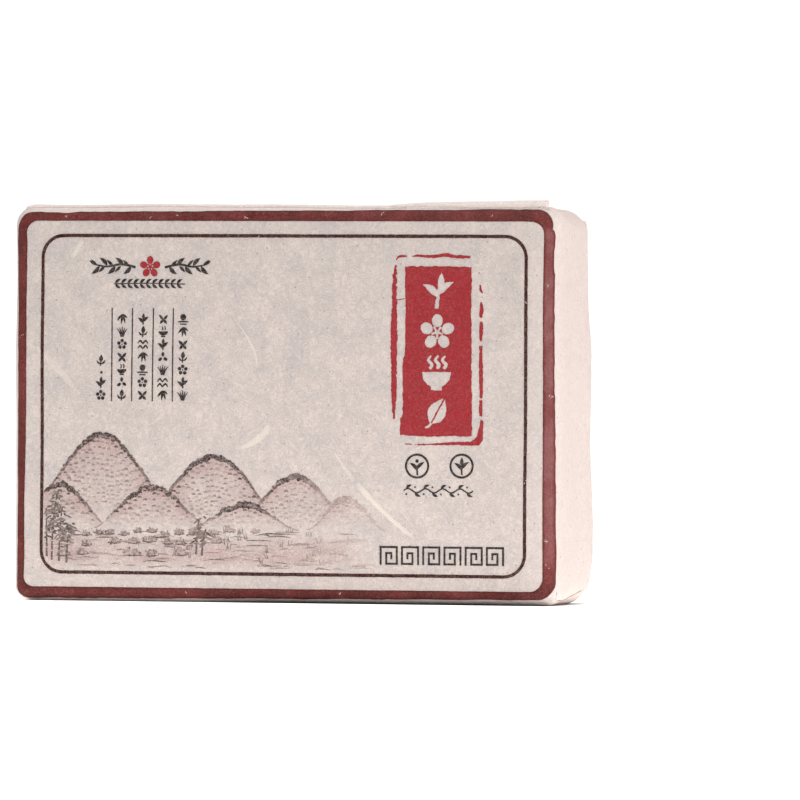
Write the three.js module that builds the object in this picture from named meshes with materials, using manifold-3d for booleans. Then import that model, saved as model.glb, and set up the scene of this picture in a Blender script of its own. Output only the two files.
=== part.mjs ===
// A brick of pressed dark tea in its paper wrapper, standing on one of its long narrow sides.
// Millimetres, +Z up. X runs along the length, the printed face looks along -Y, and the origin is
// the middle of the base. The wrapper is shut, so brick and paper are one solid: a block with soft
// edges, on which each folded layer of paper stands out by its own thickness.
import * as THREE from "three";
import { mergeVertices } from "three/addons/utils/BufferGeometryUtils.js";
import Module from "manifold-3d";

// Driving dimensions
const LENGTH = 173;
const THICKNESS = 40;
const HEIGHT = 121;

// Room kept inside them for what stands out from the block
const END_ROOM = 1.6; // on each end, for the folded flaps and the right end's swelling
const FACE_ROOM = 0.5; // on each large face, for its swelling
const TOP_ROOM = 1.8; // on top, for the sheet that lifts there

// The long edges round each large face
const FRONT_EDGE = 4;
const BACK_EDGE = 6;

// How far the corners are rounded, seen from the front, at the printed face and at the back
const UPPER_LEFT = { front: 7, back: 7 };
const LOWER_LEFT = { front: 6, back: 6 };
const UPPER_RIGHT = { front: 4, back: 6 };
const LOWER_RIGHT = { front: 4, back: 8.5 };

// Folded paper
const PAPER = 0.35; // a layer pressed on the one below
const TUCKED = 1.3; // how far a layer's solid reaches into the block
const HINGE = 3; // width over which an end flap rises out of the front edge
const FLAP_REACH = 35; // of an end flap, back from the front edge
const FLAP_SLANT = 3.6; // by which its upper and lower edges close in on the way
const FLAP_LIFT = 0.5; // at the fold
const FLAP_SPRING = 0.2; // by which it stands further off at its free edge
const TAB_REACH = 15; // of the short tabs that come up from the base and down from the top
const TAB_INSET = 5; // of a tab's sides at its fold, from the large faces
const TAB_TAPER = 0.6; // by which each side closes in for each millimetre of reach
const OVERLAP_FRONT = 1.6; // from the front plane to the free edge of the sheet on the top
const OVERLAP_END = 3; // from the right end to the same sheet's end
const OVERLAP_SLANT = 12; // by which that end stays further in at the back
const OVERLAP_LIFT = 0.4;
const RISE_START = 32; // from the middle to where the sheet starts to lift further
const RISE_RUN = 50; // from there to where it has lifted by all of OVERLAP_RISE
const OVERLAP_RISE = 1.6;

// Soft form of the block
const FACE_CROWN = 0.5; // by which the large faces swell in the middle
const DENT = 0.22; // height of the long uneven waves
const END_SWELL = 1.5; // of the right end at the back, fullest a quarter of the way up
const TOP_FALL = 1.2; // of the right end's top edge towards the back

// Mesh
const FLAT_PITCH = 9;
const ARC_STEPS = 3; // over each half of an edge's rounding
const CORNER_LINES = [5.5, 7, 8.5]; // insets of the further lines over the corners

// Half sizes of the block
const HALF = new THREE.Vector3(LENGTH / 2 - END_ROOM, THICKNESS / 2 - FACE_ROOM, (HEIGHT - TOP_ROOM) / 2);
const { clamp, lerp, smoothstep } = THREE.MathUtils;

// Grid lines along one axis: close together over the rounded ends, FLAT_PITCH apart between them
function gridLines(half, lowRadius, highRadius, extra) {
  const arc = (radius) => {
    const lines = [];
    for (let i = 0; i <= ARC_STEPS; i++) {
      lines.push(half - radius + radius * Math.tan(((i / ARC_STEPS) * Math.PI) / 4));
    }
    return lines;
  };
  const high = [...extra.map((inset) => half - inset), ...arc(highRadius)];
  const low = [...extra.map((inset) => half - inset), ...arc(lowRadius)].map((v) => -v);
  const start = Math.max(...low.filter((v) => v <= -half + Math.max(lowRadius, ...extra)));
  const end = Math.min(...high);
  const cells = Math.round((end - start) / FLAT_PITCH);
  const middle = [];
  for (let i = 1; i < cells; i++) middle.push(lerp(start, end, i / cells));
  return [...low, ...middle, ...high].sort((a, b) => a - b);
}

// Rounding of the corner nearest to a point, "back" going from 0 at the printed face to 1 at the
// back. From the middle on it is the corner's rounding at the back.
function cornerRadius(x, z, back) {
  const left = z < 0 ? LOWER_LEFT : UPPER_LEFT;
  const right = z < 0 ? LOWER_RIGHT : UPPER_RIGHT;
  const corner = x < 0 ? left : right;
  return lerp(corner.front, corner.back, smoothstep(back, 0.1, 0.5));
}

// Takes a point of the plain box |x|,|y|,|z| <= HALF to the rounded block, and out along its normal
function roundOff(x, y, z, out) {
  const back = (y + HALF.y) / (2 * HALF.y);
  const corner = cornerRadius(x, z, back);
  const innerX = clamp(x, corner - HALF.x, HALF.x - corner);
  const innerZ = clamp(z, corner - HALF.z, HALF.z - corner);
  const dx = x - innerX;
  const dz = z - innerZ;
  const across = Math.hypot(dx, dz) || 1;
  // "ring" grows from 0 at the inner rectangle to the corner's radius at the narrow sides
  const ring = Math.max(Math.abs(dx), Math.abs(dz));
  const edge = y < 0 ? FRONT_EDGE : BACK_EDGE;
  const innerRing = Math.min(ring, corner - edge);
  const innerY = clamp(y, edge - HALF.y, HALF.y - edge);
  const dRing = ring - innerRing;
  const dy = y - innerY;
  const reach = (edge + out) / (Math.hypot(dRing, dy) || 1);
  const newRing = innerRing + dRing * reach;
  return new THREE.Vector3(
    innerX + (dx / across) * newRing,
    innerY + dy * reach,
    innerZ + (dz / across) * newRing,
  );
}

// Long uneven waves, which die out towards the base so that the brick stands flat
function waves(p) {
  const level = smoothstep(p.z, -HALF.z, -HALF.z + 12);
  const rise =
    Math.sin(p.x * 0.061 + p.z * 0.043 + 0.6) * Math.cos(p.z * 0.071 - p.x * 0.024 + 1.9) +
    0.6 * Math.sin(p.x * 0.143 - p.z * 0.097 + p.y * 0.08 + 2.4);
  return DENT * rise * level;
}

// How full the right end is at a height: most a quarter of the way up, slowly less above that,
// and not at all near the base and over the top quarter
function fullness(z) {
  const fromBase = smoothstep(z, -HALF.z - 2, -43);
  const towardsTop = lerp(1, 0.5, clamp((z + 37) / 55, 0, 1));
  return fromBase * towardsTop * (1 - smoothstep(z, 17, 31));
}

// Softens the rounded block into the pressed, wrapped form
function settle(p) {
  const toEnd = smoothstep(p.x, HALF.x - 13, HALF.x - 2);
  const toTop = smoothstep(p.z, HALF.z - 24, HALF.z);
  const back = clamp((p.y + HALF.y) / (2 * HALF.y), 0, 1);
  const crown = Math.cos((p.x / HALF.x) * 1.5) * Math.cos((p.z / HALF.z) * 1.5);
  const swell = toEnd * END_SWELL * smoothstep(back, 0.45, 1) * fullness(p.z);
  const side = clamp(p.y / (HALF.y - 5), -1, 1);
  const level = smoothstep(p.z, -HALF.z, -HALF.z + 8);
  return new THREE.Vector3(
    p.x + swell + level * waves(p) * (p.x / HALF.x),
    p.y + side * (FACE_CROWN * Math.max(crown, 0) + waves(p)),
    p.z - toEnd * toTop * TOP_FALL * back + 0.6 * toTop * waves(p),
  );
}

// A point of the paper's surface, from a point of the plain box
function skin(x, y, z, out = 0) {
  return settle(roundOff(x, y, z, out));
}

// Indices for a quad grid, turned round where it should face the other way
function quads(columns, rows, first, turned, indices) {
  for (let i = 0; i < columns; i++) {
    for (let j = 0; j < rows; j++) {
      const a = first + i * (rows + 1) + j;
      const b = a + rows + 1;
      const face = [a, b, b + 1, a, b + 1, a + 1];
      indices.push(...(turned ? face.reverse() : face));
    }
  }
}

// The block: a gridded box whose grid lines are moved to where the form bends
function blockGeometry() {
  const lines = [
    gridLines(HALF.x, FRONT_EDGE, FRONT_EDGE, CORNER_LINES),
    gridLines(HALF.y, FRONT_EDGE, BACK_EDGE, []),
    gridLines(HALF.z, FRONT_EDGE, FRONT_EDGE, CORNER_LINES),
  ];
  const cells = lines.map((list) => list.length - 1);
  const geometry = new THREE.BoxGeometry(1, 1, 1, ...cells);
  const place = geometry.attributes.position;
  const lineAt = (axis, value) => lines[axis][Math.round((value + 0.5) * cells[axis])];
  for (let i = 0; i < place.count; i++) {
    const p = skin(lineAt(0, place.getX(i)), lineAt(1, place.getY(i)), lineAt(2, place.getZ(i)));
    place.setXYZ(i, p.x, p.y, p.z);
  }
  geometry.deleteAttribute("normal");
  geometry.deleteAttribute("uv");
  return mergeVertices(geometry, 1e-4);
}

// A layer of folded paper as a thin closed solid. "at" takes its two coordinates, u from 0 to 1
// across it and v from 0 to 1 along it, to a point of the plain box, and "lift" says how far it
// stands off the block there. Its underside is TUCKED into the block.
function layerGeometry(at, lift, columns, rows) {
  const points = [];
  const indices = [];
  for (const under of [false, true]) {
    for (let i = 0; i <= columns; i++) {
      for (let j = 0; j <= rows; j++) {
        const [u, v] = [i / columns, j / rows];
        points.push(skin(...at(u, v), under ? -TUCKED : lift(u, v)));
      }
    }
  }
  const half = (columns + 1) * (rows + 1);
  quads(columns, rows, 0, false, indices);
  quads(columns, rows, half, true, indices);
  const rim = [];
  for (let i = 0; i < columns; i++) rim.push(i * (rows + 1));
  for (let j = 0; j < rows; j++) rim.push(columns * (rows + 1) + j);
  for (let i = columns; i > 0; i--) rim.push(i * (rows + 1) + rows);
  for (let j = rows; j > 0; j--) rim.push(j);
  rim.forEach((a, k) => {
    const b = rim[(k + 1) % rim.length];
    indices.push(a, half + a, half + b, a, half + b, b);
  });
  return new THREE.BufferGeometry().setFromPoints(points).setIndex(indices);
}

// The outer flap of one end: hinged on the front edge, it runs back over the end and narrows
function endFlap(side) {
  return layerGeometry(
    (u, v) => {
      const back = u * FLAP_REACH;
      const low = -HALF.z + 1.2 + FLAP_SLANT * smoothstep(back, 8, FLAP_REACH);
      const high = HALF.z - 1.2 - FLAP_SLANT * 0.5 * smoothstep(back, 4, FLAP_REACH);
      const t = side > 0 ? v : 1 - v;
      return [side * HALF.x, back - HALF.y, lerp(low, high, t)];
    },
    (u) => lerp(-0.4, FLAP_LIFT, smoothstep(u * FLAP_REACH, 0, HINGE)) + FLAP_SPRING * u,
    14,
    30,
  );
}

// A short tab under it, folded on to the end from the base (vertical -1) or from the top (1)
function endTab(side, vertical) {
  return layerGeometry(
    (u, v) => {
      const rise = (side > 0 ? v : 1 - v) * TAB_REACH;
      const folded = vertical < 0 ? rise : TAB_REACH - rise;
      const wide = HALF.y - TAB_INSET - folded * TAB_TAPER;
      return [side * HALF.x, lerp(-wide, wide, u), vertical * (HALF.z - 2 - folded)];
    },
    () => PAPER,
    8,
    5,
  );
}

// The sheet that comes over the top from the back. Its free edge lies along the front edge, and its
// right end stands off the block, most at the front.
function topOverlap() {
  const along = (u, v) => lerp(-HALF.x + 3, HALF.x - OVERLAP_END - OVERLAP_SLANT * v, u);
  return layerGeometry(
    (u, v) => [along(u, v), lerp(-HALF.y + OVERLAP_FRONT, HALF.y - 2, v), HALF.z],
    (u, v) => {
      const rise = Math.sqrt(clamp((along(u, v) - RISE_START) / RISE_RUN, 0, 1));
      return OVERLAP_LIFT + OVERLAP_RISE * rise * (1 - 0.75 * v);
    },
    46,
    8,
  );
}

// Joins the block and its layers into one solid
async function joined(geometries) {
  const wasm = await Module();
  wasm.setup();
  const solids = geometries.map(
    (geometry) =>
      new wasm.Manifold(
        new wasm.Mesh({
          numProp: 3,
          vertProperties: geometry.attributes.position.array,
          triVerts: new Uint32Array(geometry.index.array),
        }),
      ),
  );
  const { vertProperties, triVerts } = solids.reduce((all, one) => all.add(one)).getMesh();
  return new THREE.BufferGeometry()
    .setAttribute("position", new THREE.BufferAttribute(vertProperties, 3))
    .setIndex(new THREE.BufferAttribute(triVerts, 1));
}

// Brings the finished form to its exact outer sizes, standing on the origin
function fitted(geometry) {
  geometry.computeBoundingBox();
  const size = geometry.boundingBox.getSize(new THREE.Vector3());
  const middle = geometry.boundingBox.getCenter(new THREE.Vector3());
  geometry.translate(-middle.x, -middle.y, -geometry.boundingBox.min.z);
  geometry.scale(LENGTH / size.x, THICKNESS / size.y, HEIGHT / size.z);
  geometry.computeVertexNormals();
  return geometry;
}

const wrappedBrick = new THREE.Mesh(
  fitted(
    await joined([
      blockGeometry(),
      topOverlap(),
      ...[-1, 1].flatMap((side) => [endTab(side, -1), endTab(side, 1), endFlap(side)]),
    ]),
  ),
  new THREE.MeshStandardMaterial({ color: 0xcdc1b9, roughness: 0.9, metalness: 0 }),
);
wrappedBrick.name = "wrapped_brick";

const group = new THREE.Group();
group.add(wrappedBrick);
export default group;
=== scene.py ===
"""A brick of pressed dark tea in its printed paper wrapper, standing on one long narrow side.

Shapes are worked out in millimetres round the middle of the block, +Z up, with the printed face
towards -Y. At the end all of them are brought together to the frame's own box, in metres.
"""
import math

import bpy
import numpy as np
from mathutils import Matrix, Vector
from mathutils.geometry import delaunay_2d_cdt


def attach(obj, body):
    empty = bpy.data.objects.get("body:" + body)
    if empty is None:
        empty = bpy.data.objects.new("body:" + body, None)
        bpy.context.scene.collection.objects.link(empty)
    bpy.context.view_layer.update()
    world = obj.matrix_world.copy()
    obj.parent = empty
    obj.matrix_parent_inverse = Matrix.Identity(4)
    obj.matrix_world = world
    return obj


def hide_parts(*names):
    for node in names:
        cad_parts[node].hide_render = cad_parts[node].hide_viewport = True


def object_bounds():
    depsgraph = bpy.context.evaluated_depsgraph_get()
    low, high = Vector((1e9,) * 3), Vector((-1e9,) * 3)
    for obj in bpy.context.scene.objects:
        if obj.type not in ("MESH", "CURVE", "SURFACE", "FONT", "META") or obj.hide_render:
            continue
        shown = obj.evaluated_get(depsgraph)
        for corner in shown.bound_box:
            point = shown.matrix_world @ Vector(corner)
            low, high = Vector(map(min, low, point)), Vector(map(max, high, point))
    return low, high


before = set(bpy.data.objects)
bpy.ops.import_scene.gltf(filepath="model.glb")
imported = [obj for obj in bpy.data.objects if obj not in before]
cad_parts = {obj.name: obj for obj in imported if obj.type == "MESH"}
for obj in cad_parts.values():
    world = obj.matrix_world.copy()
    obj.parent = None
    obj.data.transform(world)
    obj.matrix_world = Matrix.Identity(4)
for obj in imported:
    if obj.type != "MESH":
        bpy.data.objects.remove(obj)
CAD_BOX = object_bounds()

# ------------------------------------------------------------------ the pressed block, in mm

HALF_X, HALF_Y, HALF_Z = 84.9, 19.5, 59.6
FRONT_EDGE, BACK_EDGE = 4.0, 6.0  # rounding of the long edges round each large face
# Rounding of the corners seen from the front: at the printed face and at the back
UPPER_LEFT, LOWER_LEFT = (6.4, 7.0), (4.4, 6.0)
UPPER_RIGHT, LOWER_RIGHT = (4.0, 6.0), (4.0, 6.0)
FACE_CROWN = 0.5  # swelling of the large faces
DENT = 0.22  # long uneven waves
END_SWELL = 1.5  # of the right end, low at the back
TOP_FALL = 1.2  # of the right end's top edge towards the back
BASE_BAND = 8.0  # above the flat base, over which the unevenness begins
END_BAND, TOP_BAND = (13, 2), 24  # where the right end's swelling and the top's fall begin
# Height, size and seed of the paper's soft hollows and its fine quilting
HOLLOWS = ((0.09, 13, 3), (0.035, 4.2, 4))
CREASE_DEPTH, CREASE_WIDTH = 0.16, 0.07
PRINT_BAND = 6.0  # back from the printed face, over which the creases begin

GRID_PITCH = 1.0
ARC_STEPS = 6  # over each half of an edge's rounding
NORMAL_STEP = 0.4  # to either side, where the print's normals are measured

# ------------------------------------------------------------------ folded paper, in mm

SHEET = 0.25  # one layer with its fibres
FLAP_REACH, FLAP_SLANT = 35.0, 3.6
FLAP_LIFT, LEFT_FLAP_LIFT, FLAP_SPRING = 0.6, 0.15, 0.3
HINGE_START, HINGE_END = 1.0, 8.0  # back from the front edge, where an end flap comes free
TAB_REACH, TAB_INSET, TAB_TAPER, TAB_LIFT = 15.0, 5.0, 0.6, 0.25
OVERLAP_END, OVERLAP_SLANT = 3.0, 12.0
OVERLAP_LIFT, OVERLAP_RISE = 0.4, 1.6
RISE_START, RISE_RUN = 32.0, 50.0

PRINT_SHIFT = (-0.75, 59.6)  # from the middle of the print's drawing to the frame's origin

# ------------------------------------------------------------------ heights over the paper, in mm

STRAND_LIFT = 0.035  # pale fibres felted into the paper, under the print
STRAND_STEP = 0.008  # between strands that cross
WASH_LIFT = 0.06
PRINT_LIFT = 0.09
FLECK_LIFT = 0.12

NOISE_REPEAT, NOISE_SHIFT = 48, 500.0  # cells after which noise repeats, and a shift to above 0


def smooth(value, low, high):
    """0 below low, 1 above high, and an even curve between them."""
    t = np.clip((value - low) / (high - low), 0, 1)
    return t * t * (3 - 2 * t)


def lerp(a, b, t):
    """a where t is 0, b where it is 1."""
    return a + (b - a) * t


def value_noise(points, cell, seed):
    """Smooth noise between -1 and 1 at rows of 2 or 3 coordinates, with features of size cell."""
    points = np.atleast_2d(np.asarray(points, float))
    count = points.shape[-1]
    lattice = np.random.default_rng(seed).uniform(-1, 1, (NOISE_REPEAT,) * count)
    place = points / cell + NOISE_SHIFT
    base = np.floor(place).astype(int)
    t = place - base
    t = t * t * (3 - 2 * t)
    total = np.zeros(points.shape[:-1])
    for corner in np.ndindex(*(2,) * count):
        weight = np.ones(points.shape[:-1])
        index = []
        for axis, step in enumerate(corner):
            weight = weight * (t[..., axis] if step else 1 - t[..., axis])
            index.append((base[..., axis] + step) % NOISE_REPEAT)
        total += weight * lattice[tuple(index)]
    return total


def noise_along(values, cell, seed):
    """Smooth noise between -1 and 1 along one line."""
    values = np.asarray(values, float)
    return value_noise(np.stack([values, 0 * values], -1), cell, seed)


# ------------------------------------------------------------------ the paper's surface

def corner_radius(x, z, back):
    """Rounding of the nearest corner, by the share of the depth back from the front."""
    front, rear = (np.where(x < 0, np.where(z < 0, LOWER_LEFT[k], UPPER_LEFT[k]),
                            np.where(z < 0, LOWER_RIGHT[k], UPPER_RIGHT[k])) for k in (0, 1))
    return lerp(front, rear, smooth(back, 0.1, 0.5))


def round_off(x, y, z, out):
    """Takes points of the plain box to the rounded block, and outwards along its normal."""
    back = (y + HALF_Y) / (2 * HALF_Y)
    corner = corner_radius(x, z, back)
    inner_x = np.clip(x, corner - HALF_X, HALF_X - corner)
    inner_z = np.clip(z, corner - HALF_Z, HALF_Z - corner)
    dx, dz = x - inner_x, z - inner_z
    across = np.hypot(dx, dz)
    across = np.where(across == 0, 1, across)
    ring = np.maximum(np.abs(dx), np.abs(dz))
    edge = np.where(y < 0, FRONT_EDGE, BACK_EDGE)
    inner_ring = np.minimum(ring, corner - edge)
    inner_y = np.clip(y, edge - HALF_Y, HALF_Y - edge)
    d_ring, dy = ring - inner_ring, y - inner_y
    depth = np.hypot(d_ring, dy)
    reach = (edge + out) / np.where(depth == 0, 1, depth)
    new_ring = inner_ring + d_ring * reach
    return inner_x + dx / across * new_ring, inner_y + dy * reach, inner_z + dz / across * new_ring


def waves(x, y, z):
    """Long uneven waves of the pressed block, none of them at the base."""
    level = smooth(z, -HALF_Z, -HALF_Z + 12)
    rise = np.sin(x * 0.061 + z * 0.043 + 0.6) * np.cos(z * 0.071 - x * 0.024 + 1.9)
    return DENT * level * (rise + 0.6 * np.sin(x * 0.143 - z * 0.097 + y * 0.08 + 2.4))


def fullness(z):
    """How far the right end swells at each height: most below the middle."""
    towards_top = lerp(1, 0.5, np.clip((z + 37) / 55, 0, 1))
    return smooth(z, -HALF_Z - 2, -43) * towards_top * (1 - smooth(z, 17, 31))


def settle(x, y, z):
    """Softens the rounded block into the pressed, wrapped form."""
    to_end = smooth(x, HALF_X - END_BAND[0], HALF_X - END_BAND[1])
    to_top = smooth(z, HALF_Z - TOP_BAND, HALF_Z)
    back = np.clip((y + HALF_Y) / (2 * HALF_Y), 0, 1)
    crown = np.cos(x / HALF_X * 1.5) * np.cos(z / HALF_Z * 1.5)
    swell = to_end * END_SWELL * smooth(back, 0.45, 1) * fullness(z)
    side = np.clip(y / (HALF_Y - 5), -1, 1)
    level = smooth(z, -HALF_Z, -HALF_Z + BASE_BAND)
    wave = waves(x, y, z)
    new_x = x + swell + level * wave * x / HALF_X
    new_y = y + side * (FACE_CROWN * np.maximum(crown, 0) + wave)
    new_z = z - to_end * to_top * TOP_FALL * back + 0.6 * to_top * wave
    return np.stack([new_x, new_y, new_z], -1)


def crumple(x, y, z):
    """The paper's own fine unevenness: soft hollows, a fine quilting, and creases off the print."""
    spot = np.stack([x, y, z], -1)
    off_print = smooth(y, -HALF_Y, -HALF_Y + PRINT_BAND)
    hollows = sum(height * value_noise(spot, size, seed) for height, size, seed in HOLLOWS)
    line = np.abs(value_noise(spot + 0.8 * value_noise(spot, 5, 6)[..., None], 24, 5))
    creases = -CREASE_DEPTH * np.clip(1 - line / CREASE_WIDTH, 0, 1) * off_print
    return (hollows * lerp(1, 1.5, off_print) + creases) * smooth(z, -HALF_Z, -HALF_Z + 5)


def skin(x, y, z, out=0.0):
    """Points of the paper's surface, or out from it, from points of the plain box."""
    x, y, z, out = np.broadcast_arrays(*(np.asarray(v, float) for v in (x, y, z, out)))
    return settle(*round_off(x, y, z, out + crumple(x, y, z)))


def front_to_box(x, z):
    """The point of the plain box that lies behind a place of the front, seen straight on."""
    radius = corner_radius(x, z, np.zeros_like(x))
    inner_x = np.clip(x, radius - HALF_X, HALF_X - radius)
    inner_z = np.clip(z, radius - HALF_Z, HALF_Z - radius)
    dx, dz = x - inner_x, z - inner_z
    away = np.hypot(dx, dz)
    flat = radius - FRONT_EDGE
    slant = np.arcsin(np.clip((away - flat) / FRONT_EDGE, 0, 0.985))
    ring = np.where(slant <= math.pi / 4, flat + FRONT_EDGE * np.tan(slant), radius)
    ring = np.where(away <= flat, away, np.minimum(ring, radius))
    down = np.where(slant > math.pi / 4, FRONT_EDGE * (1 - 1 / np.tan(np.maximum(slant, 0.1))), 0)
    longest = np.maximum(np.maximum(np.abs(dx), np.abs(dz)), 1e-9)
    return inner_x + dx / longest * ring, -HALF_Y + down, inner_z + dz / longest * ring


def on_front(x, z, lift):
    """Points a little over the front, and their normals and places on the unrolled paper. x and z
    are where the print is seen straight on, so the surface's own shifts are taken off first."""
    aim_x, aim_z = (np.asarray(v, float) for v in PLACING.to_block(x, z))
    x, z = aim_x, aim_z
    for _ in range(3):
        points = skin(*front_to_box(x, z), lift)
        x, z = x + aim_x - points[..., 0], z + aim_z - points[..., 2]
    points = skin(*front_to_box(x, z), lift)
    across, up = (skin(*front_to_box(x + dx, z + dz), lift)
                  - skin(*front_to_box(x - dx, z - dz), lift)
                  for dx, dz in ((NORMAL_STEP, 0), (0, NORMAL_STEP)))
    normals = np.cross(across, up)
    normals /= np.linalg.norm(normals, axis=-1, keepdims=True)
    box_x, box_y, box_z = front_to_box(x, z)
    depth = box_y + HALF_Y
    sheet_x = box_x + np.where(np.abs(box_x) > HALF_X - 1e-6, np.sign(box_x) * depth, 0)
    sheet_z = box_z + np.where(np.abs(box_z) > HALF_Z - 1e-6, np.sign(box_z) * depth, 0)
    return points, normals, np.stack([sheet_x, sheet_z], -1)


class Placing:
    """How the block's own millimetres lie in the frame's box, once the paper is folded."""

    def __init__(self, sheets):
        """sheets are all the paper's pieces, which fill the frame's box between them."""
        corners = np.array([np.array(o.bound_box) for o in sheets])
        self.low, high = corners.min((0, 1)), corners.max((0, 1))
        self.box_low, box_high = np.array(CAD_BOX[0]), np.array(CAD_BOX[1])
        self.scale = (box_high - self.box_low) / (high - self.low)

    def to_frame(self, points):
        """From the block's millimetres to the frame's metres."""
        return (points - self.low) * self.scale + self.box_low

    def to_block(self, x, z):
        """From a place in the print's drawing to the block."""
        spot = [(x + PRINT_SHIFT[0]) / 1000, (z + PRINT_SHIFT[1]) / 1000]
        return [(v - self.box_low[k]) / self.scale[k] + self.low[k] for v, k in zip(spot, (0, 2))]


# ------------------------------------------------------------------ meshes

PIECES = []  # every piece, in mm round the middle of the block until bring_to_frame


def piece(name, points, faces, sheet, tone=None, normals=None):
    """A mesh object. sheet is each face corner's place on the unrolled paper, in mm, and tone
    how much ink, or how much of a fibre, each face corner carries."""
    mesh = bpy.data.meshes.new(name)
    mesh.from_pydata(np.asarray(points).tolist(), [], np.asarray(faces).tolist())
    layer = mesh.uv_layers.new(name="Sheet")
    layer.data.foreach_set("uv", np.asarray(sheet, np.float32).ravel())
    if tone is not None:
        attribute = mesh.attributes.new("tone", "FLOAT", "CORNER")
        attribute.data.foreach_set("value", np.asarray(tone, np.float32).ravel())
    mesh.polygons.foreach_set("use_smooth", np.ones(len(mesh.polygons), bool))
    if normals is not None:
        mesh.normals_split_custom_set_from_vertices(np.asarray(normals).tolist())
    obj = bpy.data.objects.new(name, mesh)
    bpy.context.scene.collection.objects.link(obj)
    PIECES.append(obj)
    return obj


def grid_lines(half, low_edge, high_edge):
    """Coordinates along one axis: close together over the rounded ends."""
    arc = [math.tan(i / ARC_STEPS * math.pi / 4) for i in range(1, ARC_STEPS + 1)]
    start, end = -half + low_edge, half - high_edge
    flat = np.linspace(start, end, round((end - start) / GRID_PITCH) + 1)
    return np.concatenate([[start - low_edge * a for a in reversed(arc)], flat,
                           [end + high_edge * a for a in arc]])


def quad_grid(columns, rows, first=0):
    """Faces between points laid out column by column."""
    i, j = np.meshgrid(np.arange(columns - 1), np.arange(rows - 1), indexing="ij")
    a = first + i * rows + j
    return np.stack([a, a + rows, a + rows + 1, a + 1], -1).reshape(-1, 4)


def unrolled(x, y, z, axis, side):
    """Where a point of one face of the plain box lies on the unrolled paper."""
    depth = y + HALF_Y
    if axis == 1:
        return (x, z) if side < 0 else (3 * HALF_X + 2 * HALF_Y - x, z)
    if axis == 0:
        return side * (HALF_X + depth), z
    return x, side * (HALF_Z + depth)


def wrapper_body():
    """The block's whole surface: the six faces of a gridded box, brought to the paper's form."""
    lines = [grid_lines(HALF_X, FRONT_EDGE, FRONT_EDGE), grid_lines(HALF_Y, FRONT_EDGE, BACK_EDGE),
             grid_lines(HALF_Z, FRONT_EDGE, FRONT_EDGE)]
    halves = [HALF_X, HALF_Y, HALF_Z]
    plain, faces, sheet, count = [], [], [], 0
    for axis in range(3):
        b, c = (axis + 1) % 3, (axis + 2) % 3
        for side in (-1, 1):
            along_b, along_c = np.meshgrid(lines[b], lines[c], indexing="ij")
            spot = np.empty(along_b.shape + (3,))
            spot[..., axis], spot[..., b], spot[..., c] = side * halves[axis], along_b, along_c
            quads = quad_grid(*along_b.shape, count)
            faces.append(quads if side > 0 else quads[:, ::-1])
            s, t = unrolled(spot[..., 0], spot[..., 1], spot[..., 2], axis, side)
            sheet.append(np.stack([s, t], -1).reshape(-1, 2))
            plain.append(spot.reshape(-1, 3))
            count += plain[-1].shape[0]
    plain, faces, sheet = np.concatenate(plain), np.concatenate(faces), np.concatenate(sheet)
    _, first, welded = np.unique(np.round(plain, 4), axis=0, return_index=True, return_inverse=True)
    points = skin(*plain[first].T)
    return piece("wrapper_body", points, welded.reshape(-1)[faces], sheet[faces])


# ------------------------------------------------------------------ folded layers

def paper_layer(name, at, lift, sheet_of, columns, rows, thickness=SHEET):
    """A closed sheet of columns by rows faces. at takes u across it and v along it to the plain
    box, lift is how far its outer side stands off the block there, and sheet_of its place on the
    unrolled paper."""
    u, v = np.meshgrid(np.linspace(0, 1, columns + 1), np.linspace(0, 1, rows + 1), indexing="ij")
    plain = at(u, v)
    height = lift(u, v)
    outer = skin(*plain, height).reshape(-1, 3)
    inner = skin(*plain, height - thickness).reshape(-1, 3)
    count = outer.shape[0]
    index = np.arange(count).reshape(columns + 1, rows + 1)
    rim = np.concatenate([index[:-1, 0], index[-1, :-1], index[:0:-1, -1], index[0, :0:-1]])
    after = np.roll(rim, -1)
    faces = np.concatenate([quad_grid(columns + 1, rows + 1),
                            quad_grid(columns + 1, rows + 1, count)[:, ::-1],
                            np.stack([rim, rim + count, after + count, after], -1)])
    s, t = sheet_of(*plain)
    sheet = np.stack(np.broadcast_arrays(s, t), -1).reshape(-1, 2)
    sheet = np.concatenate([sheet, sheet + thickness])
    obj = piece(name, np.concatenate([outer, inner]), faces, sheet[faces])
    rim_edges = {tuple(sorted(pair)) for pair in zip(rim.tolist(), after.tolist())}
    rim_edges |= {(a + count, b + count) for a, b in rim_edges}
    for edge in obj.data.edges:
        if tuple(sorted(edge.vertices)) in rim_edges:
            edge.use_edge_sharp = True
    return obj


def ripple(u, v, seed, cell=0.12):
    """The small unevenness of a cut edge or a lifted sheet."""
    return value_noise(np.stack([u, v], -1), cell, seed)


def flap_foot(back):
    """Height of an end flap's lower edge, by the distance back from the front."""
    u = back / FLAP_REACH
    return -HALF_Z + 1.2 + FLAP_SLANT * smooth(back, 8, FLAP_REACH) + 0.3 * u * ripple(u, 0 * u, 11)


def flap_lift(u, v, side):
    """How far an end flap stands off: the right one springs open towards its edge."""
    free = smooth(u * FLAP_REACH, HINGE_START, HINGE_END)
    stand = FLAP_LIFT if side > 0 else LEFT_FLAP_LIFT
    return lerp(-0.2, stand, free) + FLAP_SPRING * u * (side > 0) + 0.12 * u * ripple(u, v, 13)


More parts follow.
